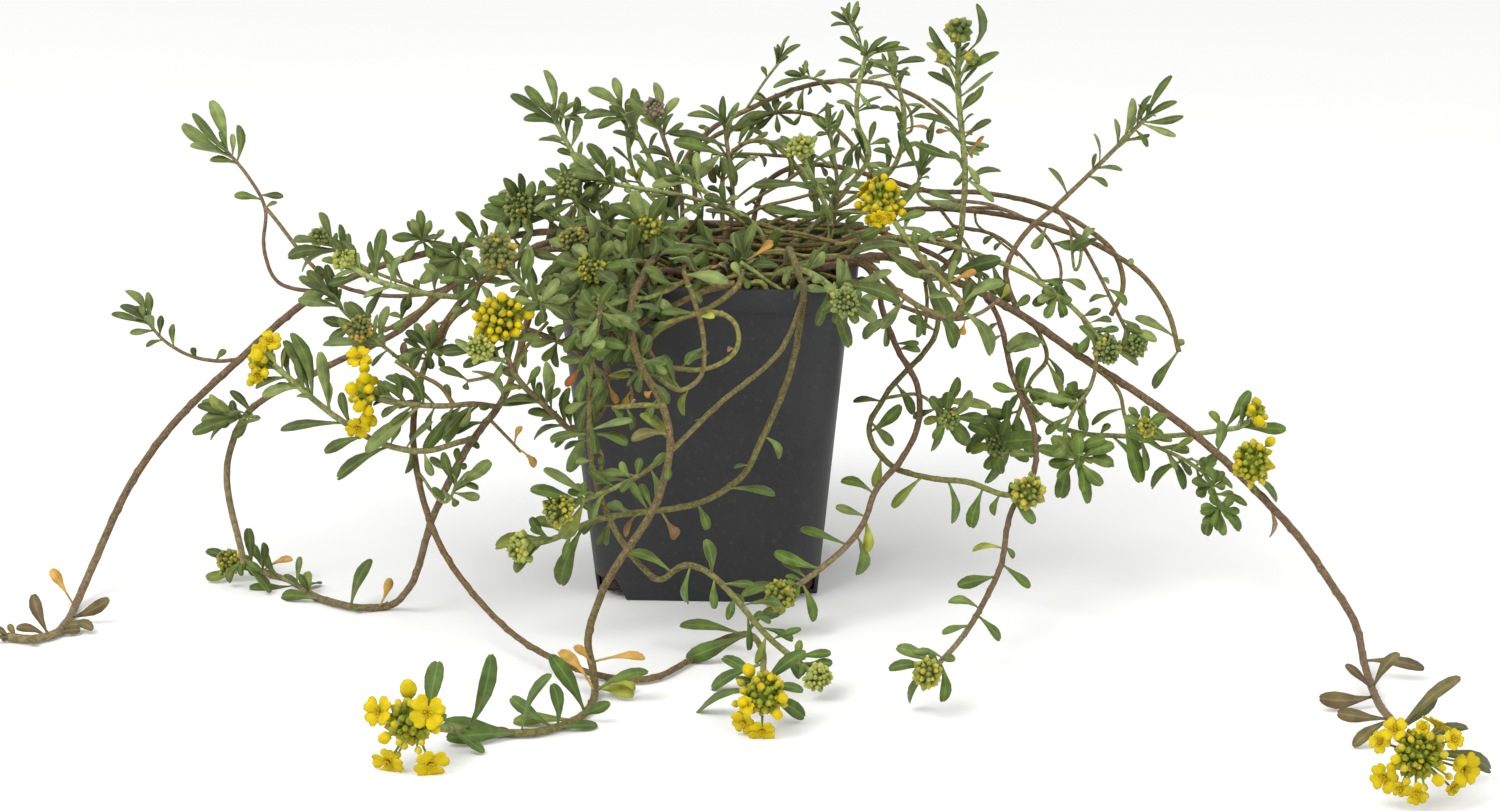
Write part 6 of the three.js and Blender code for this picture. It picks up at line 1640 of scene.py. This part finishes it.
def addRosettes(spine):
    rng = np.random.default_rng(41)
    for px, py, reach, number, turn in spots(rosettes):
        _, stem, share, foot = frontmost(spine, (px, py))
        for k in range(int(number)):
            angle = turn + (k + rng.normal(0, 0.16)) * 2 * math.pi / number
            length = reach * rng.uniform(0.78, 1.1)
            spot = px + length * math.cos(angle), py + length * math.sin(angle) * 0.92
            depth = foot[1] - length * perPixel(foot) * rng.uniform(-0.1, 0.45)
            tip = broughtForward(spine, foot, atDepth(*spot, depth))
            leaf = makeLeaf(foot, tip, 0, share=share, traced=spot)
            leaf["width"] *= 1.12
            leaf["facing"] = backward + up * 0.35 + rng.normal(0, 0.22, 3)
            stem["leaves"].append(leaf)


for plant in plants:
    usual = shootLook if plant["name"].startswith("shoot_") else plainLook
    for stem in plant["stems"]:
        stem["fine"] = fineRoute(stem)
        stem["look"] = stem["record"].get("look", usual)
addTwigs(spineOf())
addMore(spineOf())
addRosettes(spineOf())
print("leaves and twigs added")

# heads as pixel, reach in pixels and the depth behind which a leaf no longer covers them
allHeads = [stem["head"] for stem in allStems()]
headMarks = []
for head in filter(None, allHeads):
    centre, seen = head["centre"], perPixel(head["centre"])
    spot, reach = pixelOf(centre), head["radius"] / seen * 0.7
    if "name" in head:
        px, py, wide, _ = blooms[head["name"]]["dome"]
        spot, reach = (px, py), wide * 0.85
    headMarks.append((spot, reach, depthOf(centre) + 0.3 * reach * seen))


def clearOfHeads(leaf):
    # leans a leaf away from the camera until it passes behind the heads it would cover
    foot, tip = leaf["foot"], leaf["tip"]
    move = 0
    for part in (0.5, 0.75, 1.0):
        spot = foot + (tip - foot) * part
        for mark, reach, behind in headMarks:
            if depthOf(spot) < behind and isNear(pixelOf(spot), mark, reach):
                move = max(move, (behind - depthOf(spot)) / part)
    if move:
        leaf["tip"] = tip + unit(tip - eye) * min(move, 1.1 * norm(tip - foot))
        leaf["tip"][2] = max(leaf["tip"][2], extraRule["low"])


# ranges of the small differences between leaves
leafDress = dict(pointed=(0.1, 0.7), width=(0.88, 1.1), bend=(0.2, 1.7), folded=(0.5, 1.8),
                 curl=(-0.08, 0.16), sway=0.05, wide=1.04)


def dressLeaf(leaf, rng):
    # tone and shape: slimmer and more pointed high up and at the left, on a long stalk where withered
    clearOfHeads(leaf)
    spot = leaf["traced"] or pixelOf(leaf["tip"])
    leaf["tone"] = leaf.get("tone", leafTone(spot, rng))
    if oddTone(spot) in withered:
        leaf["stalk"] = moreRule["stalk"]
    reddish = any(isNear(spot, place, place[2]) for place in purplePlaces)
    leaf["petiole"] = mix(leaf["tone"], leafTones["purple"] if reddish else stemTones["young"], 0.45)
    high = clip((330 - spot[1]) / 200) * clip((spot[0] - 580) / 120)
    left = clip((600 - spot[0]) / 60) * clip((480 - spot[1]) / 60)
    leaf["pointed"] = rng.uniform(*leafDress["pointed"]) + 0.4 * high + 0.3 * left
    slim = leafDress["wide"] - 0.34 * high ** 2 - 0.12 * left
    leaf["width"] = leaf["width"] * slim * rng.uniform(*leafDress["width"])
    for key in ("bend", "folded", "curl"):
        leaf[key] = rng.uniform(*leafDress[key])
    leaf["sway"] = rng.normal(0, leafDress["sway"])


for number, plant in enumerate(plants):
    rng = np.random.default_rng(100 + number)
    pile = newPile()
    addStems(pile, plant["stems"], slots["stem"], rng)
    for stem in plant["stems"]:
        leaves = [leaf for leaf in stem["leaves"] if leaf["traced"] or leafyReach(stem)]
        for leaf in leaves:
            leaf["foot"] = onFine(stem, leaf["share"])[0]
        leaves += extraLeaves(stem, rng)
        for leaf in leaves:
            dressLeaf(leaf, rng)
        addLeaves(pile, leaves, slots["leaf"])
        head = stem["head"]
        if head and "bloom" not in stem["record"]:
            addHead(pile, head["centre"], headFacing(head), head["radius"], rng, head.get("kind", "dusky"),
                    head.get("large", 1))
    piece = meshOf(pile, plant["name"] + "_leafy", plantMaterials)
    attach(piece, "root")
    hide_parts(plant["name"])
print("leafy stems made:", len(plants))

# Yellow heads
heads = {head["name"]: head for head in allHeads if "name" in head}
for number, (name, bloom) in enumerate(blooms.items()):
    rng = np.random.default_rng(500 + number)
    head = heads[name]
    centre, radius = head["centre"], head["radius"]
    axis, pixel = headFacing(head), perPixel(centre)
    pile = newPile()
    px, py, wide, large = bloom["dome"]
    middle = centre + fromPixel(centre, 0, (px, py))
    addHead(pile, middle, axis, wide * pixel, rng, "flower", large)
    outs, rods, buds, puffs = [], [], [], []

    def stalk(place):
        outs.append(unit(place))
        rods.append((middle - axis * wide * pixel * 0.4, centre + place, 0.4, 0.33))

    for px, py, width in spots(bloom.get("open", "")):
        place = fromPixel(centre, radius * 0.85, (px, py))
        stalk(place)
        out = unit(unit(place) + backward * 1.4)
        low = 0.36 * width * pixel - (centre + place)[2]
        if low > 0:
            place = place + unit(eye - centre) * min(12, low / 0.27)
        addFlower(pile, centre + place, out, rng.uniform(0, 1.5), width / 33, rng)
    for px, py, width in spots(bloom["puffs"]):
        size = width * pixel * 0.47
        place = fromPixel(centre, radius * 0.85, (px, py))
        out = unit(unit(place) + backward * 0.2)
        place = place - out * size * 1.3
        stalk(place)
        puffs.append((centre + place, out, size * 2.6, size, budTones["green"], petalTone))
    for spot in spots(bloom["buds"]):
        place = fromPixel(centre, radius * 0.8, spot)
        out = unit(place)
        place = place - out * 1.5
        stalk(place)
        buds.append((centre + place, out, rng.uniform(2.6, 3.4), rng.uniform(0.95, 1.2), budTones["lime"],
                     mix(budTones["lime"], budTones["yellow"], rng.uniform(0.5, 1))))
    count = 9 if radius > 8 else 6
    for k in range(count):
        # flowers and buds on the far side, where no traced one stands
        lift = 0.15 + 0.25 * wave(k, 1)
        out = unit(axis * lift + swung(axis, k / count * 2 * math.pi + 0.4) * math.sqrt(1 - lift ** 2))
        if any(out @ placed > 0.72 for placed in outs) or out @ backward > -0.1:
            continue
        if k % 3 != 2 and "open" in bloom:
            stalk(out * radius * 0.75)
            addFlower(pile, centre + out * radius * 0.75, out, rng.uniform(0, 1.5), 0.85, rng)
        else:
            place = out * (radius * 0.95 - 3.3)
            stalk(place)
            buds.append((centre + place, out, 3.3, 1.35, budTones["lime"], budTones["yellow"]))
    addRods(pile, rods, slots["bud"], budTones["green"])
    addBuds(pile, buds, slots["bud"])
    addBuds(pile, puffs, slots["petal"], puffWidths, (0.12, 0.3))
    piece = meshOf(pile, name + "_flowers", plantMaterials)
    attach(piece, "root")
    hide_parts(name)
print("yellow heads made:", len(blooms))

# Pot: hollow and tapering, with a band round the rim and a notch at each bottom corner
potShape = dict(rim=90, wallTop=86, base=67, height=100, band=7, slant=0.8, wall=1.2, floor=1.6, corner=10,
                notchReach=10, notchHeight=6.5, notchSlant=1.6, rounding=0.45)


def objectOf(bm, name):
    data = bpy.data.meshes.new(name)
    bm.to_mesh(data)
    bm.free()
    return addObject(name, data)


def taperedBlock(name, low, high, foot, top, corner):
    # square block from one width to another, its upright edges rounded
    bm = bmesh.new()
    bmesh.ops.create_cube(bm, size=1)
    for v in bm.verts:
        wide = high if v.co.z > 0 else low
        v.co = (v.co.x * wide, v.co.y * wide, top if v.co.z > 0 else foot)
    upright = [e for e in bm.edges if abs(e.verts[0].co.z - e.verts[1].co.z) > 1e-6]
    if corner:
        bmesh.ops.bevel(bm, geom=upright, offset=corner, offset_type="OFFSET", segments=8, profile=0.5,
                        affect="EDGES", material=-1)
    for v in bm.verts:
        v.co *= mm
    return objectOf(bm, name)


def applyAll(piece):
    data = bpy.data.meshes.new_from_object(piece.evaluated_get(bpy.context.evaluated_depsgraph_get()))
    old = piece.data
    piece.modifiers.clear()
    piece.data = data
    bpy.data.meshes.remove(old)


def combine(piece, tool, operation):
    modifier = piece.modifiers.new(operation.lower(), "BOOLEAN")
    modifier.object = tool
    modifier.operation = operation
    modifier.solver = "EXACT"
    applyAll(piece)
    bpy.data.objects.remove(tool)


def dressSolid(piece, material):
    piece.data.polygons.foreach_set("use_smooth", [True] * len(piece.data.polygons))
    piece.data.materials.clear()
    piece.data.materials.append(material)


def potWidth(z):
    p = potShape
    return p["base"] + (p["wallTop"] - p["base"]) * z / (p["height"] - p["band"])


p = potShape
wallEnd, past = p["height"] - 1, p["height"] + 1
pot = taperedBlock("square_pot", p["base"], potWidth(wallEnd), 0, wallEnd, p["corner"])
bandFoot = p["height"] - p["band"]
band = taperedBlock("band", p["rim"] - p["slant"], p["rim"], bandFoot, p["height"], p["corner"] + 1)
combine(pot, band, "UNION")
lowInside, highInside = (potWidth(z) - 2 * p["wall"] for z in (p["floor"], past))
inside = taperedBlock("inside", lowInside, highInside, p["floor"], past, p["corner"] - p["wall"])
combine(pot, inside, "DIFFERENCE")
for sx, sy in ((1, 1), (-1, 1), (-1, -1), (1, -1)):
    notch = taperedBlock("notch", 2 * p["notchReach"], 2 * (p["notchReach"] - p["notchSlant"]), -1,
                         p["notchHeight"], 0)
    for v in notch.data.vertices:
        aside = (p["base"] / 2 + (p["notchSlant"] if v.co.z > 0 else 0)) * mm
        v.co.x += sx * aside
        v.co.y += sy * aside
    combine(pot, notch, "DIFFERENCE")
rounding = pot.modifiers.new("rounded_edges", "BEVEL")
rounding.width = p["rounding"] * mm
rounding.segments = 2
rounding.limit_method = "ANGLE"
rounding.angle_limit = 40 * degree
applyAll(pot)

# Moulded plastic: near black and clouded, dusty, with a satin shine broken by a fine grain
potMaterial, tree, shader = newMaterial("moulded_charcoal_plastic")
cloud = woven(tree, 28, 4, 0.3, 0.7)
inputs = {0: cloud, 6: hexToLinear("#272829"), 7: hexToLinear("#323334")}
tone = addNode(tree, "Mix", inputs, data_type="RGBA")
dust = woven(tree, 1.4, 5, 0.56, 0.76)
dusty = addNode(tree, "Math", {0: dust, 1: 0.16}, operation="MULTIPLY")
inputs = {0: dusty.outputs[0], 6: tone.outputs[2], 7: hexToLinear("#6a655c")}
tone = addNode(tree, "Mix", inputs, data_type="RGBA")
grain = woven(tree, 0.35, 3, 0.3, 0.7)
dressShader(tree, shader, tone.outputs[2], (cloud, 0.4, 0.55), grain, 0.03, {"Specular IOR Level": 0.35})
dressSolid(pot, potMaterial)
pot.data.set_sharp_from_angle(angle=35 * degree)
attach(pot, "root")
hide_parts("pot")
print("pot made")


# Soil: a lumpy peat block with loose crumbs and litter on top. lumps, bumps and grit: pitch in 1/mm and rise
soilShape = dict(gap=0.35, voxel=1.4, topLayer=2.5, lumps=(0.09, 2.0), bumps=(0.35, 1.2), grit=(0.9, 0.7),
                 crumbs=420, bits=70, litter=150)


def lumpy(x, y, kind, layer):
    pitch, rise = soilShape[kind]
    return noise.noise((x * pitch, y * pitch, layer)) * rise


s = soilShape
inset = 2 * (p["wall"] + s["gap"])
soilFoot = p["floor"] + s["gap"]
lowSoil, highSoil = (potWidth(z) - inset for z in (soilFoot, soilTop))
soil = taperedBlock("peat_soil", lowSoil, highSoil, soilFoot, soilTop - 0.6, p["corner"] - p["wall"])
fine = soil.modifiers.new("fine", "REMESH")
fine.mode = "VOXEL"
fine.voxel_size = s["voxel"] * mm
applyAll(soil)
for v in soil.data.vertices:
    if v.co.z > (soilTop - s["topLayer"]) * mm:
        x, y = v.co.x / mm, v.co.y / mm
        edge = max(abs(x), abs(y)) / (potWidth(soilTop) / 2)
        bulk = lumpy(x, y, "lumps", 3.1) + lumpy(x, y, "bumps", 7.7)
        v.co.z += (bulk * min(1, (1 - edge) * 8) + lumpy(x, y, "grit", 1.3)) * mm

crumbBall = ball(7, 5)
rng = np.random.default_rng(11)
pile = newPile()
jitter = rng.normal(0, 0.12, (24, len(crumbBall["points"]), 3))
reach = potWidth(soilTop) / 2 - 4
copies = []
tints = []
for k in range(s["crumbs"] + s["bits"]):
    size = rng.uniform(0.35, 1.15) * np.array([1, rng.uniform(0.6, 1), rng.uniform(0.5, 0.8)])
    if k >= s["crumbs"]:
        size = np.array([rng.uniform(1.6, 3.4), rng.uniform(0.35, 0.6), rng.uniform(0.3, 0.5)])
    turn, tip = rng.uniform(0, 2 * math.pi), rng.normal(0, 0.25)
    spin = np.array(Matrix.Rotation(turn, 3, "Z") @ Matrix.Rotation(-tip, 3, "Y"))
    x, y = rng.uniform(-reach, reach, 2)
    local = (crumbBall["points"] * (1, 1, 2) - (0, 0, 1)) * size * (1 + jitter[k % 24])
    copies.append(local @ spin.T + (x, y, soilTop + 0.1 + lumpy(x, y, "lumps", 3.1) * 0.8))
    tints.append(mix(colour("#2c2018"), colour("#5c4634"), rng.random() ** 2))
addShapes(pile, crumbBall, np.array(copies), np.array(tints)[:, None], (0.5, 0.6, 1), 0)

litter = []
for k in range(s["litter"]):
    turn = rng.uniform(0, 2 * math.pi)
    foot = np.array([*rng.uniform(-reach, reach, 2), soilTop + rng.uniform(0.8, 6.5)])
    tip = foot + np.array([math.cos(turn), math.sin(turn), rng.normal(0, 0.25)]) * rng.uniform(5, 11)
    tip[:2] = np.clip(tip[:2], -reach - 2, reach + 2)
    litter.append(dict(foot=foot, tip=tip, width=rng.uniform(1.4, 3.4),
                       facing=np.array([*rng.normal(0, 0.4, 2), 1]),
                       tone=mix(colour("#2e2317"), colour("#6e5a3c"), rng.random() ** 1.5),
                       curl=rng.uniform(0, 0.3), bend=rng.uniform(-1, 2)))
addLeaves(pile, litter, 0, smallSlab)

# Damp peat: dark, with paler fibres and hardly any shine
soilMaterial, tree, shader = newMaterial("damp_peat")
lump = woven(tree, 5, 6, 0.3, 0.7)
fibre = woven(tree, 0.9, 6, 0.35, 0.68, 1.5)
tone = addNode(tree, "Mix", {0: lump, 6: hexToLinear("#241a13"), 7: hexToLinear("#46352a")}, data_type="RGBA")
tone = addNode(tree, "Mix", {0: fibre, 6: tone.outputs[2], 7: hexToLinear("#5e4a3a")}, data_type="RGBA")
dressShader(tree, shader, tone.outputs[2], (fibre, 0.95, 0.7), fibre, 0.6, {"Specular IOR Level": 0.25})
dressSolid(soil, soilMaterial)
crumbMaterial = plantMaterial("peat_crumbs", dict(
    patch=1.2, shade=(0.6, 1.3), grain=0.4, rough=(0.75, 0.95), bump=0.2, sheen=0.0, gloss=0.2, glow=0.0))
crumbs = meshOf(pile, "peat_crumbs", [crumbMaterial])
for piece in (soil, crumbs):
    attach(piece, "root")
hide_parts("soil")
print("soil made")


# Studio, in metres: pale floor, soft light from above and from the upper left
studio = dict(floor=6, sky=0.86, aim=(0, 0, 0.06),
              lamps=[("key_light", (-0.7, -0.9, 1.3), 0.9, 16), ("fill_light", (1.0, -0.7, 0.8), 1.0, 5)])
bm = bmesh.new()
bmesh.ops.create_grid(bm, x_segments=1, y_segments=1, size=studio["floor"])
floorPiece = objectOf(bm, "studio_floor")
floorMaterial, tree, shader = newMaterial("pale_floor")
soft = woven(tree, 400, 2, 0.3, 0.7)
tone = addNode(tree, "Mix", {0: soft, 6: hexToLinear("#f4f4f3"), 7: hexToLinear("#f7f7f6")}, data_type="RGBA")
feed(tree, shader, {"Base Color": tone.outputs[2], "Roughness": 0.9})
floorPiece.data.materials.append(floorMaterial)

world = bpy.data.worlds.new("studio")
world.use_nodes = True
feed(world.node_tree, world.node_tree.nodes["Background"], {"Color": (1, 1, 1, 1), "Strength": studio["sky"]})
scene.world = world
for name, spot, size, energy in studio["lamps"]:
    light = bpy.data.lights.new(name, "AREA")
    light.size = size
    light.energy = energy
    lamp = addObject(name, light)
    lamp.location = spot
    lamp.rotation_euler = (Vector(studio["aim"]) - Vector(spot)).to_track_quat("-Z", "Y").to_euler()
scene.view_settings.view_transform = "Standard"
